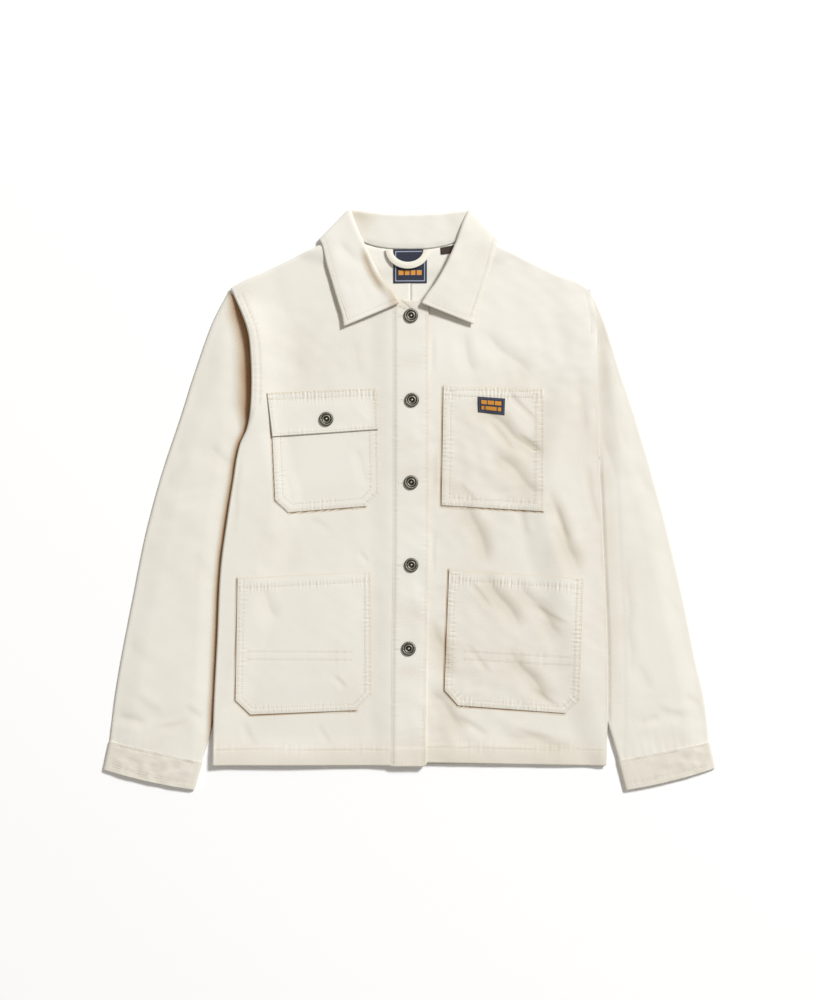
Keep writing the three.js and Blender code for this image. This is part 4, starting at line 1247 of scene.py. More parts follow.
# Sleeves and cuffs
@dataclass(frozen=True)
class Tube:
    """Rings of points round a flattened tube between two long edges.

    Attributes:
        out: places along the outer edge, one a ring.
        inn: places along the inner edge.
        thick: thickness of its cloth.
        upper: steps across the upper layer.
        lower: steps across the lower layer.
        turns: steps round each long edge.
        roll: how far each long edge rolls out.
    """

    out: Array
    inn: Array
    thick: float
    upper: int = 64
    lower: int = 12
    turns: int = 5
    roll: float = 3.0

    def rings(self, place: Callable[[Array], tuple[Array, Array]],
              upper_at: Callable[[Array, Array, Array], Array]) -> tuple[Array, Array]:
        """The rings in space, and how much each point belongs to the upper layer.

        Args:
            place: gives x and y for shares across the tube.
            upper_at: gives the upper layer's middle height for x, y and distance across.

        Returns:
            The grid of points and a grid of shares.
        """
        width = np.linalg.norm(self.out - self.inn, axis=1)[:, None]
        low = self.thick / 2
        start = np.full_like(width, low + self.roll)
        end = width - start
        flat = np.linspace(0, 1, self.upper + 1)[None, :]
        turn = (np.arange(1, self.turns + 1) / (self.turns + 1) * math.pi)[None, :]
        back = np.linspace(0, 1, self.lower + 1)[None, :]
        d_upper = start + (end - start) * flat
        d_end = end + self.roll * np.sin(turn)
        d_lower = end + (start - end) * back
        d_start = start - self.roll * np.sin(turn)
        z_upper = upper_at(*place(d_upper / width), d_upper)
        z_end = upper_at(*place(end / width), end)
        z_start = upper_at(*place(start / width), start)
        z = np.concatenate([
            z_upper,
            low + (z_end - low) * (1 + np.cos(turn)) / 2,
            low + 0 * d_lower,
            low + (z_start - low) * (1 - np.cos(turn)) / 2,
        ], axis=1)
        d = np.concatenate([d_upper, d_end, d_lower, d_start], axis=1)
        x, y = place(d / width)
        share = np.zeros(z.shape)
        share[:, :self.upper + 1] = smooth(0, 0.06, flat) * smooth(1, 0.94, flat)
        return np.stack([x, y, z], axis=2), share


SLEEVE_WRINKLES = np.array([
    (-348, -262, -318, -270, 6, 0.5), (-300, -276, -268, -268, 5, 0.45),
    (-330, -240, -300, -256, 7, 0.35), (-270, -250, -250, -262, 5, 0.4),
    (-262, -70, -238, -100, 12, 0.35), (-300, 20, -262, 40, 14, 0.3),
    (-240, 60, -214, 40, 9, 0.45), (-340, -180, -310, -196, 12, 0.3),
    (300, -252, 330, -262, 6, 0.45), (276, -270, 300, -262, 5, 0.45),
    (330, -236, 350, -250, 6, 0.4), (258, -74, 263, -206, 9, 0.55),
    (262, 40, 286, 10, 12, 0.35), (246, 120, 256, 60, 10, 0.35),
    (300, -110, 322, -140, 12, 0.3), (270, -200, 290, -228, 8, 0.35),
])


@dataclass(frozen=True)
class Sleeve:
    """One sleeve, a flattened tube from its cuff up to the armhole.

    Attributes:
        side: the wearer's side.
        table: its edges from the cuff up.
        hollow: how far it sinks beside the armhole.
        slope: distance in which it comes up from there to its full height.
        beside: how high it stands close beside the body's edge.
    """

    side: Side
    table: Array
    hollow: float
    slope: float
    beside: float
    rows: int = 224

    def wall(self) -> Wall:
        """The sleeve's form."""
        sign = self.side.value
        t = np.linspace(0, 1, self.rows + 1)
        edges = by_row(self.table, t)
        into_cuff = smooth(0.03, 0, t)[:, None] * (self.table[0] - self.table[1])
        reach = np.hypot(into_cuff[:, 0], into_cuff[:, 1]).max()
        edges = edges + into_cuff * (2.6 / reach)
        out, inn = edges[:, :2], edges[:, 2:]
        last = self.table[-1]
        edge = left_edge if sign < 0 else right_edge
        bend = smooth(0.62, 1, t)[:, None]

        def place(w: Array) -> tuple[Array, Array]:
            """Places at shares across the sleeve, bent to the body's edge at the armhole."""
            arm_y = mix(last[1], last[3], w)
            tucked = 3 * smooth(0, 0.06, w)
            arm_x = edge(arm_y) - sign * tucked - mix(last[0], last[2], w)
            settle = smooth(0, 0.04, w) * smooth(1, 0.96, w)
            x = mix(out[:, :1], inn[:, :1], w) + bend * arm_x * settle
            return x, mix(out[:, 1:], inn[:, 1:], w)

        def upper_at(x: Array, y: Array, d: Array) -> Array:
            """Middle height of the upper layer, lowest in the hollow beside the body."""
            e = sign * (x - edge(y))
            at_armhole = smooth(75, 110, y) * smooth(246, 215, y)
            hollow = self.hollow * at_armhole * smooth(22, 4, e)
            crown = 2.5 * smooth(2, mix(26, self.slope, at_armhole), e) * smooth(0, 30, d)
            beside = self.beside * smooth(0.3, 4.5, e) * smooth(0, 30, d) * smooth(80, 20, y)
            crown = np.maximum(crown, beside)
            crease = 0.5 * bell(y + 262, 9) * smooth(10, 40, e)
            return 2.8 - hollow + crown - crease

        grid, share = Tube(out, inn, CLOTH).rings(place, upper_at)
        length = np.concatenate([[0], np.cumsum(np.linalg.norm(np.diff(out, axis=0), axis=1))])
        around = np.cumsum(np.linalg.norm(np.diff(grid[100], axis=0, prepend=grid[100][:1]), axis=1))
        cloth = np.stack(np.broadcast_arrays(around[None, :], length[:, None]), axis=2)
        x, y = grid[:, :, 0], grid[:, :, 1]
        relief = -fold_relief(SLEEVE_WRINKLES, x, y) + 0.8 * washed(x * 0.7 + 300, y * 0.7)
        gathers = uneven(around[None, :] + 0 * y, 11.0, 2.0 + sign)
        relief += 0.22 * gathers * np.exp(-length[:, None] / 16)
        relief *= share
        if sign > 0:
            grid, relief, cloth = grid[:, ::-1], relief[:, ::-1], cloth[:, ::-1]
        shown = grid + normals(grid, True) * CLOTH / 2
        # Painted shade: a little darker in the sleeve's wrinkles and lighter on its rises, and the
        # painted shadow in the hollow beside the body.
        tone_and_painted_light = np.clip(relief / 0.5, -1, 1) * 0.05 + self.crease(shown[:, :, 0], shown[:, :, 1])
        return Wall(shown, CLOTH, True, relief, cloth, tone_and_painted_light)

    def crease(self, x: Array, y: Array) -> Array:
        """Painted shadow and shade: how much darker the cloth's colour is made in the hollow beside
        the body, where the body's edge shades the sleeve.
        """
        if self.side is Side.LEFT:
            away = x - right_edge(y)
            return -0.12 * bell(away - 8, 10) * smooth(-290, -230, y)
        away = left_edge(y) - x
        wide = smooth(75, 120, y) * smooth(252, 215, y)
        reach = mix(11.0, 26.0, wide)
        return -smooth(1.0, 0.0, away / reach) ** mix(1.1, 0.8, wide)


@dataclass(frozen=True)
class Cuff:
    """A sleeve's cuff band, a short flattened tube."""

    side: Side
    seam: Array
    end: tuple[float, float, float, float]
    rows: int = 28

    def shape(self) -> tuple[Array, Array, Array]:
        """The band's rings, their share in the upper layer, and their share down the band."""
        sign = self.side.value
        proud = 0.6
        below = CLOTH / 2 + GAP
        t = (graded(CUFF_DEPTH, CUFF_DEPTH / self.rows) / CUFF_DEPTH)[::-1, None]
        start = np.array([self.seam[0] + sign * proud, self.seam[1] - below,
                          self.seam[2] - sign * proud, self.seam[3] - below])
        edges = mix(start[None, :], np.array(self.end)[None, :], t)
        out, inn = edges[:, :2], edges[:, 2:]

        def place(w: Array) -> tuple[Array, Array]:
            """Places at shares across the band, whose end bows out a little."""
            sag = 2.4 * t * 4 * w * (1 - w)
            return mix(out[:, :1], inn[:, :1], w), mix(out[:, 1:], inn[:, 1:], w) - sag

        def upper_at(x: Array, y: Array, d: Array) -> Array:
            """Middle height of the upper layer, a little lower near both edges."""
            return 4.2 + 1.2 * smooth(0, 26, d) * smooth(126, 98, d)

        grid, share = Tube(out, inn, BAND_CLOTH, upper=60, lower=16).rings(place, upper_at)
        return grid, share, t

    def wall(self) -> Wall:
        """The band's form."""
        sign = self.side.value
        grid, share, t = self.shape()
        steps = np.linalg.norm(np.diff(grid[10], axis=0, prepend=grid[10][:1]), axis=1)
        around = np.cumsum(steps)[None, :]
        along_band = t * CUFF_DEPTH
        by_seam, by_end = CUFF_ROWS

        def puckers(at: float, seed: float) -> Array:
            """Waves along a row of stitches that lies a distance below the band's seam."""
            return bell(along_band - at, 4.5) * uneven(around + 0 * t, 8.5, seed)

        relief = 0.2 * puckers(by_end, 1.0 + sign) + 0.14 * puckers(3.0, 2.0 - sign)
        relief = relief - 0.3 * bell(along_band - by_end, 1.0)
        relief = relief - 0.25 * bell(along_band - by_seam, 0.9)
        crumple = washed(around * 1.6 + 40 * sign, along_band * 2.2 + 0 * around)
        relief = (relief + 0.7 * crumple) * share
        cloth = np.stack(np.broadcast_arrays(around, along_band), axis=2)
        if sign > 0:
            grid, relief, cloth = grid[:, ::-1], relief[:, ::-1], cloth[:, ::-1]
        shown = grid + normals(grid, True) * BAND_CLOTH / 2
        # Painted shade: a little darker in the band's puckers and crumples and lighter on their
        # rises, and a little darker all over.
        tone_and_painted_light = np.clip(relief / 0.3, -1, 1) * 0.06 - 0.13
        return Wall(shown, BAND_CLOTH, True, relief, cloth, tone_and_painted_light)

    def row(self, distance: float) -> Array:
        """A line across the band's upper layer, a distance below its seam."""
        grid, _, t = self.shape()
        i = int(np.argmin(np.abs(t[:, 0] * CUFF_DEPTH - distance)))
        line = grid[i, 2:58].copy()
        line[:, 2] += BAND_CLOTH / 2
        return line


# The collar
@dataclass(frozen=True)
class Collar:
    """The collar in one piece: its outer edge, over the roll, down to the neck seam."""

    stations: int = 240
    leaf: int = 30
    bend: int = 14
    stand: int = 16

    def middle(self) -> tuple[Array, Array]:
        """The middle of the cloth, and how far each point is from the outer edge.

        Returns:
            A grid whose rows run round the neck from the wearer's right front to the left, and
            whose columns run from the outer edge to the neck seam, and the distances.
        """
        half = COLLAR_HALF
        mirrored = half[:-1][::-1]
        flip = np.array([1, -1, 1, 1, -1, 1, 1, -1, 1, 1])
        near = smooth(330, 300, half[:, 2])[:, None] * np.array(
            [0, 2.5, 0, -1.2, 0, 0, 0.6, 3.0, -1.0, -0.9])
        ends = smooth(250, 235, half[:, 2])[:, None] * np.array(
            [0, 0, 0, 0, -1.4, -2.8, 0, 0, 0, 0])
        table = by_row(np.concatenate([half * flip + near + ends, mirrored]),
                       np.linspace(0, 1, self.stations + 1))
        soft = smooth(0.34, 0.22, np.linspace(0, 1, self.stations + 1))[:, None]
        radius = COLLAR_ROLL * (1 + 1.3 * soft)
        height = COLLAR_ROLL * (1 - 0.3 * soft)
        turn = np.radians(table[:, 0])[:, None]
        roll, out, seam = table[:, 1:4], table[:, 4:7], table[:, 7:10]
        side = np.where(np.arange(self.stations + 1) <= self.stations / 2, -1.0, 1.0)[:, None]
        away = (roll - out) * np.array([1, 1, 0])
        away /= np.linalg.norm(away, axis=1)[:, None]
        aside = np.concatenate([side * 0.748, 0 * side + 0.663, 0 * side], axis=1)
        to_leaf = aside * np.cos(turn) + np.array([0, 0, 1]) * np.sin(turn)
        centre = roll - away * radius
        stand_end, leaf_start = centre - to_leaf * height, centre + to_leaf * height
        s = np.linspace(0, 1, self.leaf + 1)[None, :, None]
        path_leaf = out[:, None] + (leaf_start - out)[:, None] * s
        angle = (np.arange(1, self.bend) / self.bend * math.pi)[None, :, None]
        path_roll = centre[:, None] + (height * to_leaf)[:, None] * np.cos(angle) + (
            radius * away)[:, None] * np.sin(angle)
        s = np.linspace(0, 1, self.stand + 1)[None, :, None]
        path_stand = stand_end[:, None] + (seam - stand_end)[:, None] * s
        grid = np.concatenate([path_leaf, path_roll, path_stand], axis=1)
        steps = np.linalg.norm(np.diff(grid, axis=1, prepend=grid[:, :1]), axis=2)
        return grid, np.cumsum(steps, axis=1)

    def shown(self) -> tuple[Array, Array, Array, Array]:
        """The side that shows, its normals, and distances from the edge and the front ends."""
        grid, from_edge = self.middle()
        normal = normals(grid)
        steps = np.linalg.norm(np.diff(grid[:, 4], axis=0, prepend=grid[:1, 4]), axis=1)
        arc = np.cumsum(steps)[:, None] + 0 * from_edge
        return grid + normal * BAND_CLOTH / 2, normal, from_edge, arc

    def wall(self) -> Wall:
        """The collar's form."""
        shown, _, from_edge, arc = self.shown()
        last = arc[-1:]
        from_front = np.minimum(arc, last - arc)
        rim = np.minimum(from_edge, from_front)
        relief = -0.28 * bell(rim - 6.0, 0.9)
        relief += 0.13 * uneven(arc, 7.5, 1.0) * bell(from_edge - 4, 5)
        ends = uneven(from_edge, 7.5, 2.0) * bell(from_front - 4, 5)
        relief += 0.13 * ends * smooth(60, 40, from_edge)
        relief -= rounding(rim, 0.9, 1.6)
        x, y = shown[:, :, 0], shown[:, :, 1]
        seams = relief.copy()
        on_leaf = smooth(66, 50, from_edge) * smooth(2.5, 6, shown[:, :, 2])
        dent = np.array([(-84, 308, -64, 280, 8, 0.5), (-60, 300, -32, 246, 7, 0.8)])
        relief -= fold_relief(dent, x, y) * on_leaf
        centre_crease = bell(x, 1.2) * smooth(322, 340, y)
        relief += 0.7 * washed(x + 90, y) - 0.16 * centre_crease
        to_seam = from_edge[:, -1:] - from_edge
        round_neck = arc / last
        thin = smooth(7, 0, to_seam) * smooth(0.3, 0.36, round_neck) * smooth(0.7, 0.64, round_neck)
        thin *= 1.25
        shown = shown - np.array([0.0, 0.0, 1.0]) * thin[:, :, None]
        relief += 0.1 * uneven(arc, 5.0, 4.0) * bell(to_seam, 4)
        cloth = np.stack([arc, from_edge], axis=2)
        # Painted light and shade: darker in the seams' grooves and lighter on puckers, painted shade
        # in the dent of the wearer's right leaf and on its roll, which faces the lamp, painted light
        # on that leaf where it slopes away from the lamp, and a lighter stand at the back with a
        # pale line along its seam, painted light over the shade there.
        tone_and_painted_light = np.clip(seams / 0.3, -1, 1) * 0.12 - 0.8 * fold_relief(dent[1:], x, y) * on_leaf
        columns = np.arange(shown.shape[1])
        on_roll = bell(columns - self.leaf - self.bend / 2, self.bend)
        tone_and_painted_light -= 0.55 * on_roll[None, :] * smooth(0.44, 0.36, round_neck)
        tone_and_painted_light += 0.6 * on_leaf * smooth(4, 20, from_edge) * smooth(0.4, 0.3, round_neck)
        at_back = smooth(0.3, 0.38, round_neck) * smooth(0.7, 0.62, round_neck)
        tone_and_painted_light += at_back * (0.25 + 0.35 * bell(to_seam, 1.6))
        return Wall(shown, BAND_CLOTH - thin, relief=relief, cloth=cloth, tone_and_painted_light=tone_and_painted_light)

    def sew(self, thread: Thread) -> None:
        """Adds the row of stitches along the outer edge and the two front ends."""
        shown, normal, from_edge, arc = self.shown()
        in_from_edge = int(np.argmin(np.abs(from_edge[20] - 6.0)))
        in_from_front = int(np.argmin(np.abs(arc[:, 4] - 6.0)))
        rows = slice(in_from_front, self.stations + 1 - in_from_front)
        thread.sew(shown[rows, in_from_edge], normal[rows, in_from_edge])
        for i in (in_from_front, self.stations - in_from_front):
            line = slice(in_from_edge, self.leaf - 1)
            thread.sew(shown[i, line], normal[i, line])


# Pockets, flap and labels
@dataclass(frozen=True)
class Pocket:
    """A patch pocket or flap with its turned edges and rows of stitches.

    Attributes:
        patch: its outline.
        under: gives the height of what it is sewn on.
        rows: how far in from the sewn edge its rows of stitches lie.
        hems: how far below the top edge its hem's rows lie.
        puff: how far its middle stands off the panel.
        strain: how strongly its seams pucker.
        lift: how far its lower edge stands off, for a flap.
        extra: more seams across it.
        seed: where its puckers begin.
    """

    patch: Patch
    under: Height
    rows: tuple[float, ...]
    hems: tuple[float, ...]
    puff: float = 0.6
    strain: float = 0.16
    lift: float = 0.0
    extra: tuple[Seam, ...] = ()
    seed: float = 1.0
    spacing: float = 0.95

    def seams(self) -> list[Seam]:
        """All the pocket's seams."""
        edge = self.patch.sewn_edge()
        made = [Seam(tuple(inset_path(edge, d)), 0.3, 0.8, self.strain, 5.0, 4, self.seed + d)
                for d in self.rows]
        top = [self.patch.top_right, self.patch.top_left]
        for d in self.hems:
            (x1, y1), (x2, y2) = inset_path(top, d)
            ends = ((x2 + 1.5, y2), (x1 - 1.5, y1))
            made.append(Seam(ends, 0.3, 0.8, self.strain * 2.0, 4.4, 5.0, self.seed + 3 + d))
        return made + list(self.extra)

    def base(self, x: Array, y: Array) -> Array:
        """Height of the pocket's outer side before its edges and seams are worked."""
        edge, _ = from_path(self.patch.sewn_edge(), x, y)
        mouth, _ = from_path([self.patch.top_left, self.patch.top_right], x, y)
        puff = self.puff * smooth(6, 34, edge) * smooth(-10, 20, mouth)
        u = np.clip((self.patch.top_left[1] - y) / self.patch.height, 0, 1)
        return self.under(x, y) + 0.2 + TRIM + puff + self.lift * u**2

    def top(self, x: Array, y: Array) -> Array:
        """Height of the pocket's outer side."""
        edge, _ = from_path(self.patch.sewn_edge(), x, y)
        mouth, _ = from_path([self.patch.top_left, self.patch.top_right], x, y)
        rim = np.minimum(edge, mouth)
        turned = 0.2 * smooth(self.rows[-1] + 2.5, self.rows[-1] - 0.5, rim)
        unsewn = self.base(x, y) + turned - rounding(rim, 0.9, 1.8)
        return unsewn + seams_relief(self.seams(), x, y)

    def wall(self) -> Wall:
        """The pocket's form."""
        x, y = self.patch.grid(self.spacing)
        relief = seams_relief(self.seams(), x, y)
        grid = np.stack([x, y, self.top(x, y)], axis=2)
        # Painted shade: darker in the seams' grooves and lighter on puckers, painted shade in the
        # folds, and darker along the right and top rims, which face the lamp.
        tone_and_painted_light = np.clip(relief / 0.3, -1, 1) * 0.26 + painted_fold_shade_and_tone(x, y)
        lit, _ = from_path(
            [self.patch.bottom_right, self.patch.top_right, self.patch.top_left], x, y)
        tone_and_painted_light -= 0.4 * bell(lit, 1.2)
        return Wall(grid, TRIM * 0.8, tone_and_painted_light=tone_and_painted_light)

    def sew(self, thread: Thread) -> None:
        """Adds the pocket's stitches."""
        for seam in self.seams():
            if seam.sewn:
                thread.sew_flat(seam.path, self.top)


@dataclass(frozen=True)
class Label:
    """A woven label with a border line and bare bars.

    Attributes:
        patch: its outline.
        under: gives the height of what it is sewn on.
        border: distance of the border line from the edge, or 0 for none.
        bars: motif bars as low and high shares across and up.
        allowance: how much of its top edge is sewn into a seam.
    """

    patch: Patch
    under: Height
    border: float = 0.0
    bars: tuple[tuple[float, float, float, float], ...] = ()
    allowance: float = 0.0
    spacing: float = 0.35

    def build(self) -> tuple[Wall, Array]:
        """The label's form and the ink of its motif, one number a point."""
        across = graded(self.patch.width, self.spacing) / self.patch.width
        up = graded(self.patch.height, self.spacing) / self.patch.height
        u, v = np.meshgrid(across, up)
        x, y = self.patch.place(u, v)
        to_edge = np.minimum(np.minimum(u, 1 - u) * self.patch.width,
                             np.minimum(v, 1 - v) * self.patch.height)
        ink = np.zeros(u.shape)
        if self.border:
            ink = np.where(np.abs(to_edge - self.border) < 0.42, 0.5, ink)
        for u1, u2, v1, v2 in self.bars:
            ink = np.where((u > u1) & (u < u2) & (v > v1) & (v < v2), 1.0, ink)
        curl = 0.25 * np.sin(u * 5 + 1) * np.sin(v * 4)
        z = self.under(x, y) + GAP + 0.7 + curl - rounding(to_edge, 0.35, 0.9) + 0.08 * (ink > 0)
        return Wall(np.stack([x, y, z], axis=2), 0.6), ink

    def hang(self, wardrobe: Wardrobe, slot: Slot, rests_on: str) -> None:
        """Makes the label and puts it on the frame."""
        wall, ink = self.build()
        flat = (self.patch.width, self.patch.height + self.allowance)
        thing = wardrobe.cloth(wall, self.patch.name, flat, [rests_on], slot)
        hidden = len(thing.data.vertices) - ink.size
        set_value(thing, "ink", np.concatenate([ink.ravel(), np.zeros(hidden)]))


@dataclass(frozen=True)
class HangerLoop:
    """The tape that the jacket hangs from, an arc from the neck seam and back."""

    centre_x: float = -1.4
    top_y: float = 300.6
    half_width: float = 22.6
    drop: float = 19.0
    tape_half: float = 4.1
    steps: int = 96
    around: int = 28

    def build(self) -> bpy.types.Object:
        """Makes the tape: a flat round-edged band with a stitched groove along each side."""
        angle = np.linspace(0, math.pi, self.steps + 1)[:, None]
        way = np.concatenate([-np.cos(angle) * self.drop, -np.sin(angle) * self.half_width,
                              0 * angle], axis=1)
        way /= np.linalg.norm(way, axis=1)[:, None]
        middle = np.concatenate([
            self.centre_x - np.cos(angle) * self.half_width,
            self.top_y - np.sin(angle) * self.drop,
            6.2 + 1.6 * np.sin(angle)], axis=1)
        turn = np.arange(self.around) / self.around * 2 * math.pi
        out = np.sign(np.cos(turn)) * np.abs(np.cos(turn)) ** 0.6
        high = np.sign(np.sin(turn)) * np.abs(np.sin(turn)) ** 0.8
        groove = 0.22 * bell(np.abs(out) - 0.66, 0.1) * (high > 0)
        points = middle[:, None] + way[:, None] * (out * self.tape_half)[None, :, None]
        points[:, :, 2] += (high * 1.1 - groove)[None, :]
        index = np.arange(points.shape[0] * self.around).reshape(-1, self.around)
        closed = np.concatenate([index, index[:, :1]], axis=1)
        caps = np.stack([index[0], index[-1, ::-1]])
        thing = make_mesh("hanger_loop_cloth", points.reshape(-1, 3),
                          [Wall.quads(closed)[:, ::-1], caps])
        arc = np.cumsum(np.linalg.norm(np.diff(middle, axis=0, prepend=middle[:1]), axis=1))
        cloth = np.stack(np.broadcast_arrays(out[None, :] * self.tape_half, arc[:, None]), axis=2)
        set_places(thing, cloth.reshape(-1, 2))
        set_value(thing, "tone_and_painted_light", np.full(len(thing.data.vertices), 0.1))
        return thing


@dataclass(frozen=True)
class Button:
    """A pressed pewter button: a raised cord ring round a sunk centre with a bright nub."""

    node: str
    x: float
    y: float
    z: float
    turn: float = 0.0
    segments: int = 96
    rings_on_top: int = 17

    def build(self) -> bpy.types.Object:
        """Makes the button."""
        r = BUTTON_ACROSS / 2
        share = np.array([0, 0.08, 0.13, 0.17, 0.2, 0.26, 0.32, 0.37, 0.42, 0.48, 0.54, 0.59, 0.64,
                          0.69, 0.76, 0.84, 0.91, 0.97, 1.0, 0.97, 0.85, 0.45, 0.45])
        level = np.array([3.5, 3.4, 3.1, 2.6, 2.3, 2.2, 2.3, 2.7, 3.2, 3.45, 3.3, 3.1, 3.1,
                          3.3, 3.55, 3.6, 3.45, 3.05, 2.5, 2.0, 1.75, 1.3, 0.1])
        bright = np.array([1.3, 1.3, 1.0, 0.3, 0.0, 0.0, 0.0, 0.1, 0.4, 0.75, 0.5, 0.1, 0.05,
                           0.2, 0.4, 0.4, 0.35, 0.25, 0.1, 0.1, 0.1, 0.1, 0.1])
        theta = np.arange(self.segments) / self.segments * 2 * math.pi
        rings = len(share) - 1
        upper = (np.arange(rings) < self.rings_on_top)[:, None]
        ring = bell(share[1:, None] - 0.81, 0.11) * upper
        bead_ring = bell(share[1:, None] - 0.48, 0.05) * upper
        cord = np.sin(24 * theta[None, :] + 14 * share[1:, None])
        beads = np.sin(16 * theta[None, :])
        z = level[1:, None] + 0.28 * ring * cord + 0.08 * bead_ring * beads
        lean = theta + self.turn
        x = r * share[1:, None] * np.cos(lean)[None, :]
        y = r * share[1:, None] * np.sin(lean)[None, :]
        points = np.concatenate([[[0, 0, level[0]]], np.stack([x, y, z], axis=2).reshape(-1, 3)])
        index = 1 + np.arange(rings * self.segments).reshape(rings, self.segments)
        closed = np.concatenate([index, index[:, :1]], axis=1)
        first = np.stack([np.zeros(self.segments, dtype=int), closed[0, :-1], closed[0, 1:]], axis=1)
        points += np.array([self.x, self.y, self.z])
        thing = make_mesh(f"{self.node}_metal", points, [first, Wall.quads(closed)[:, ::-1],
                                                         index[-1:, ::-1]])
        shine = bright[1:, None] + 0.3 * ring * cord + 0.2 * bead_ring * beads
        set_value(thing, "rubbed", np.concatenate([[1.0], np.clip(shine, 0, 1.1).ravel()]))
        return thing


# Light, floor and camera
@dataclass(frozen=True)
class Studio:
    """A pale floor under a wide soft light from the upper right, and a camera straight above."""

    camera_x: float = 0.0012
    camera_z: float = 3.34
    lens: float = 100.0
    key_power: float = 2030.0
    key_distance: float = 14.0
    key_rise: float = 42.0
    key_heading: float = 46.0
    key_size: float = 2.6
    key_colour: tuple[float, float, float] = (0.97, 0.985, 1.0)
    sky: float = 0.37
    sky_colour: tuple[float, float, float, float] = (1.0, 0.955, 0.89, 1.0)

    def build(self) -> None:
        """Makes the camera, the lights, the sky and the floor."""
        scene = bpy.context.scene
        data = bpy.data.cameras.new("camera")
        data.lens = self.lens
        data.clip_end = 20.0
        camera = bpy.data.objects.new("camera", data)
        camera.location = (self.camera_x, 0.0, self.camera_z)
        scene.collection.objects.link(camera)
        scene.camera = camera
        rise, heading = math.radians(self.key_rise), math.radians(self.key_heading)
        spot = Vector((math.cos(rise) * math.cos(heading), math.cos(rise) * math.sin(heading),
                       math.sin(rise))) * self.key_distance
        light = bpy.data.lights.new("key", "AREA")
        light.energy = self.key_power
        light.size = self.key_size
        light.color = self.key_colour
        key = bpy.data.objects.new("key", light)
        key.location = spot
        key.rotation_euler = spot.to_track_quat("Z", "Y").to_euler()
        scene.collection.objects.link(key)
        world = bpy.data.worlds.new("sky")
        world.use_nodes = True
        ground = world.node_tree.nodes["Background"]
        ground.inputs["Color"].default_value = self.sky_colour
        ground.inputs["Strength"].default_value = self.sky
        scene.world = world
        scene.view_settings.view_transform = "Standard"
        self.floor()

    def floor(self) -> None:
        """Makes the plain pale floor."""
        reach = 4000.0
        corners = np.array([(-reach, -reach, -0.05), (reach, -reach, -0.05),
                            (reach, reach, -0.05), (-reach, reach, -0.05)])
        floor = make_mesh("floor", corners, [np.array([[0, 1, 2, 3]])])
        material, tree = new_material("white floor")
        shader = add_node(tree, "ShaderNodeBsdfPrincipled", None, {
            "Base Color": (0.985, 0.985, 0.985, 1.0), "Roughness": 0.9,
            "Specular IOR Level": 0.1})
        add_node(tree, "ShaderNodeOutputMaterial", None, {"Surface": shader.outputs["BSDF"]})
        floor.data.materials.append(material)


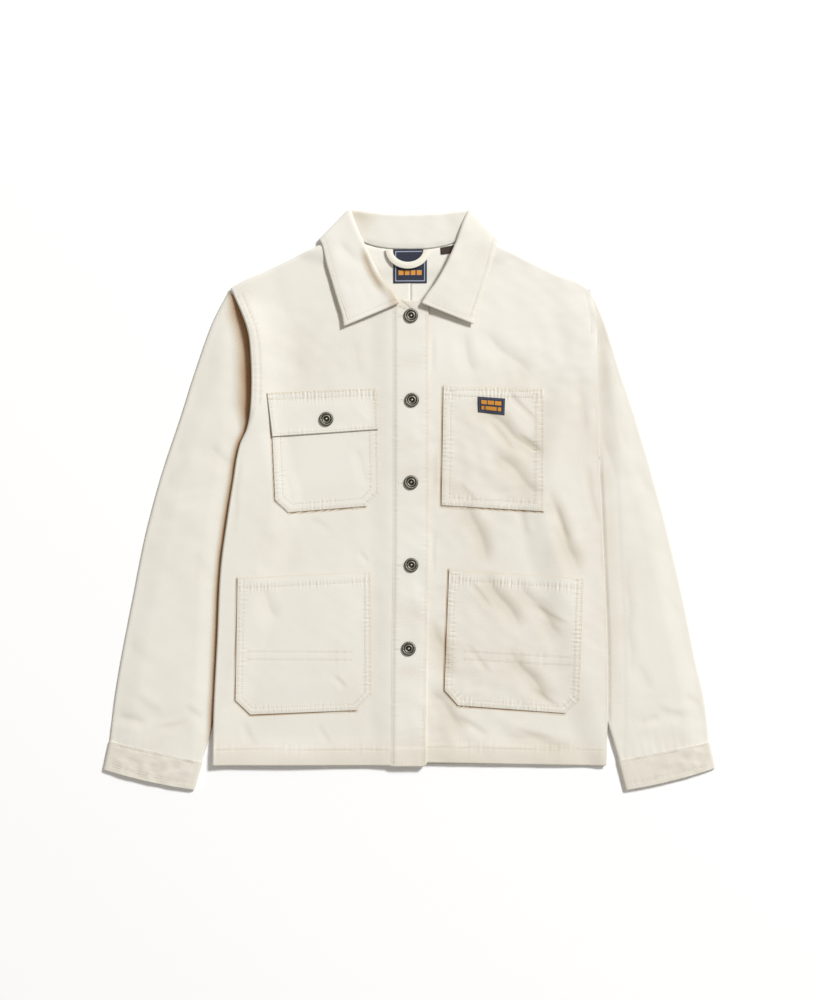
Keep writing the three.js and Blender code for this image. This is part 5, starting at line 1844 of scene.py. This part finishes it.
class Jacket:
    """Makes all the pieces of the jacket."""

    def __init__(self) -> None:
        self.wardrobe = Wardrobe()

    def body(self) -> None:
        """The back, the fronts and the button band."""
        for side in Side:
            self.wardrobe.cloth(Back(side).wall(), f"back_{side.word}", (240, 660), ["floor"])
        left = Front(Side.LEFT, -15.0, 8.0)
        right = Front(Side.RIGHT, -21.8, 2.0)
        self.wardrobe.cloth(left.wall(), "front_left", (262, 652), ["back_left"])
        self.wardrobe.cloth(right.wall(), "front_right", (262, 652), ["back_right", "front_left"])
        band = Placket()
        self.wardrobe.cloth(band.wall(), "placket", (46, 560), ["front_right"])
        thread = Thread("body_stitches")
        for seam in FRONT_SEAMS:
            top = right_top if seam.path[0][0] < 0 else left_top
            thread.sew_flat(seam.path, top)
        for seam in band.sewn_rows():
            thread.sew_flat(seam.path, band.top)
        self.wardrobe.hang(thread.build(), Slot.CANVAS)
        holes = Thread("buttonhole_stitches", pitch=0.9, half_length=0.4, radius=0.4)
        for x, y in BUTTONS.values():
            left, right = x - 15.0, x - 6.0
            for path in (((left, y - 0.9), (right, y - 0.9)), ((left, y + 0.9), (right, y + 0.9)),
                         ((left, y - 1.8), (left, y + 1.8))):
                holes.sew_flat(path, placket_top)
        self.wardrobe.hang(holes.build(), Slot.CANVAS)

    def sleeves(self) -> None:
        """The sleeves and their cuffs."""
        thread = Thread("cuff_stitches")
        parts = ((Side.RIGHT, SLEEVE_RIGHT, CUFF_RIGHT, (0.8, 42.0, 0.0)),
                 (Side.LEFT, SLEEVE_LEFT, CUFF_LEFT, (0.0, 30.0, 2.1)))
        for side, table, end, form in parts:
            sleeve = Sleeve(side, table, *form).wall()
            self.wardrobe.cloth(sleeve, f"sleeve_{side.word}", (340, 590), ["floor"])
            cuff = Cuff(side, table[0], end)
            self.wardrobe.cloth(cuff.wall(), f"cuff_{side.word}", (240, 36), ["floor"])
            for distance in CUFF_ROWS:
                thread.sew(cuff.row(distance))
        self.wardrobe.hang(thread.build(), Slot.CANVAS)

    def collar(self) -> None:
        """The collar and its row of stitches."""
        collar = Collar()
        self.wardrobe.cloth(collar.wall(), "collar", (520, 110), ["front_right", "front_left"])
        thread = Thread("collar_stitches")
        collar.sew(thread)
        self.wardrobe.hang(thread.build(), Slot.CANVAS)

    def pockets(self) -> None:
        """The four pockets, the flap and its button, and the patch."""
        middle_right = tuple(
            Seam(((-193, y1), (-70, y1 - 0.5)), 0.25, 0.9, 0.06, 9, 4, 5.0) for y1 in (-182, -191.5))
        middle_left = tuple(
            Seam(((66, y1), (208, y1 - 8)), 0.25, 0.9, 0.08, 9, 4, 6.0) for y1 in (-182, -191.5))
        chest_right = Pocket(CHEST_RIGHT, right_top, (2.4, 9.8), (), seed=1.0)
        chest_left = Pocket(CHEST_LEFT, left_top, (2.4, 9.8), (3.6, 10.8), strain=0.2, seed=2.0)
        hip_right = Pocket(HIP_RIGHT, right_top, (2.4, 7.6), (12.0,), strain=0.15,
                           extra=middle_right, seed=3.0)
        hip_left = Pocket(HIP_LEFT, left_top, (2.4, 7.6), (12.0,), strain=0.24,
                          extra=middle_left, seed=4.0)
        flap = Pocket(FLAP, chest_right.base, (3.0,), (1.6, 8.0), puff=0.9, strain=0.18, lift=1.6,
                      seed=5.0)
        thread = Thread("pocket_stitches")
        rests = {"chest_pocket_right": "front_right", "chest_pocket_left": "front_left",
                 "hip_pocket_right": "front_right", "hip_pocket_left": "front_left",
                 "pocket_flap": "chest_pocket_right"}
        for pocket in (chest_right, chest_left, hip_right, hip_left, flap):
            name = pocket.patch.name
            flat = (pocket.patch.width + 2, pocket.patch.height + 2)
            self.wardrobe.cloth(pocket.wall(), name, flat, [rests[name]])
            pocket.sew(thread)
        self.wardrobe.hang(thread.build(), Slot.CANVAS)
        bars = ((0.13, 0.33, 0.54, 0.8), (0.36, 0.6, 0.54, 0.8), (0.63, 0.87, 0.54, 0.8),
                (0.13, 0.24, 0.2, 0.44), (0.28, 0.7, 0.2, 0.44), (0.74, 0.87, 0.2, 0.44))
        patch = Label(POCKET_PATCH, chest_left.top, 1.8, bars)
        patch.hang(self.wardrobe, Slot.PATCH, "chest_pocket_left")
        x, y = FLAP_BUTTON
        top = float(flap.top(np.array([x]), np.array([y]))[0])
        self.button("button_flap", x, y, top)

    def neck(self) -> None:
        """The labels and the hanger loop inside the back of the neck."""
        bars = ((0.16, 0.3, 0.24, 0.38), (0.34, 0.48, 0.24, 0.38), (0.52, 0.66, 0.24, 0.38),
                (0.7, 0.84, 0.24, 0.38), (0.3, 0.7, 0.46, 0.5))
        Label(NECK_LABEL, back_top, 2.8, bars).hang(self.wardrobe, Slot.NECK, "back_left")
        size = Label(SIZE_LABEL, back_top, allowance=2.0)
        size.hang(self.wardrobe, Slot.SIZE, "back_left")
        loop = self.wardrobe.hang(HangerLoop().build(), Slot.TAPE, "hanger_loop")

    def buttons(self) -> None:
        """The five buttons down the front."""
        for name, (x, y) in BUTTONS.items():
            top = float(placket_top(np.array([x]), np.array([y]))[0])
            self.button(name, x, y, top)

    def button(self, name: str, x: float, y: float, top: float) -> None:
        """Makes one button on a surface of the given height."""
        button = Button(name, x, y, top - 0.8, turn=0.7 * x + y)
        self.wardrobe.hang(button.build(), Slot.PEWTER, name)


def main() -> None:
    """Builds the scene."""
    logging.basicConfig(level=logging.INFO)
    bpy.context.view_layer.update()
    Studio().build()
    jacket = Jacket()
    jacket.body()
    jacket.sleeves()
    jacket.collar()
    jacket.pockets()
    jacket.neck()
    jacket.buttons()


if __name__ == "__main__":
    main()
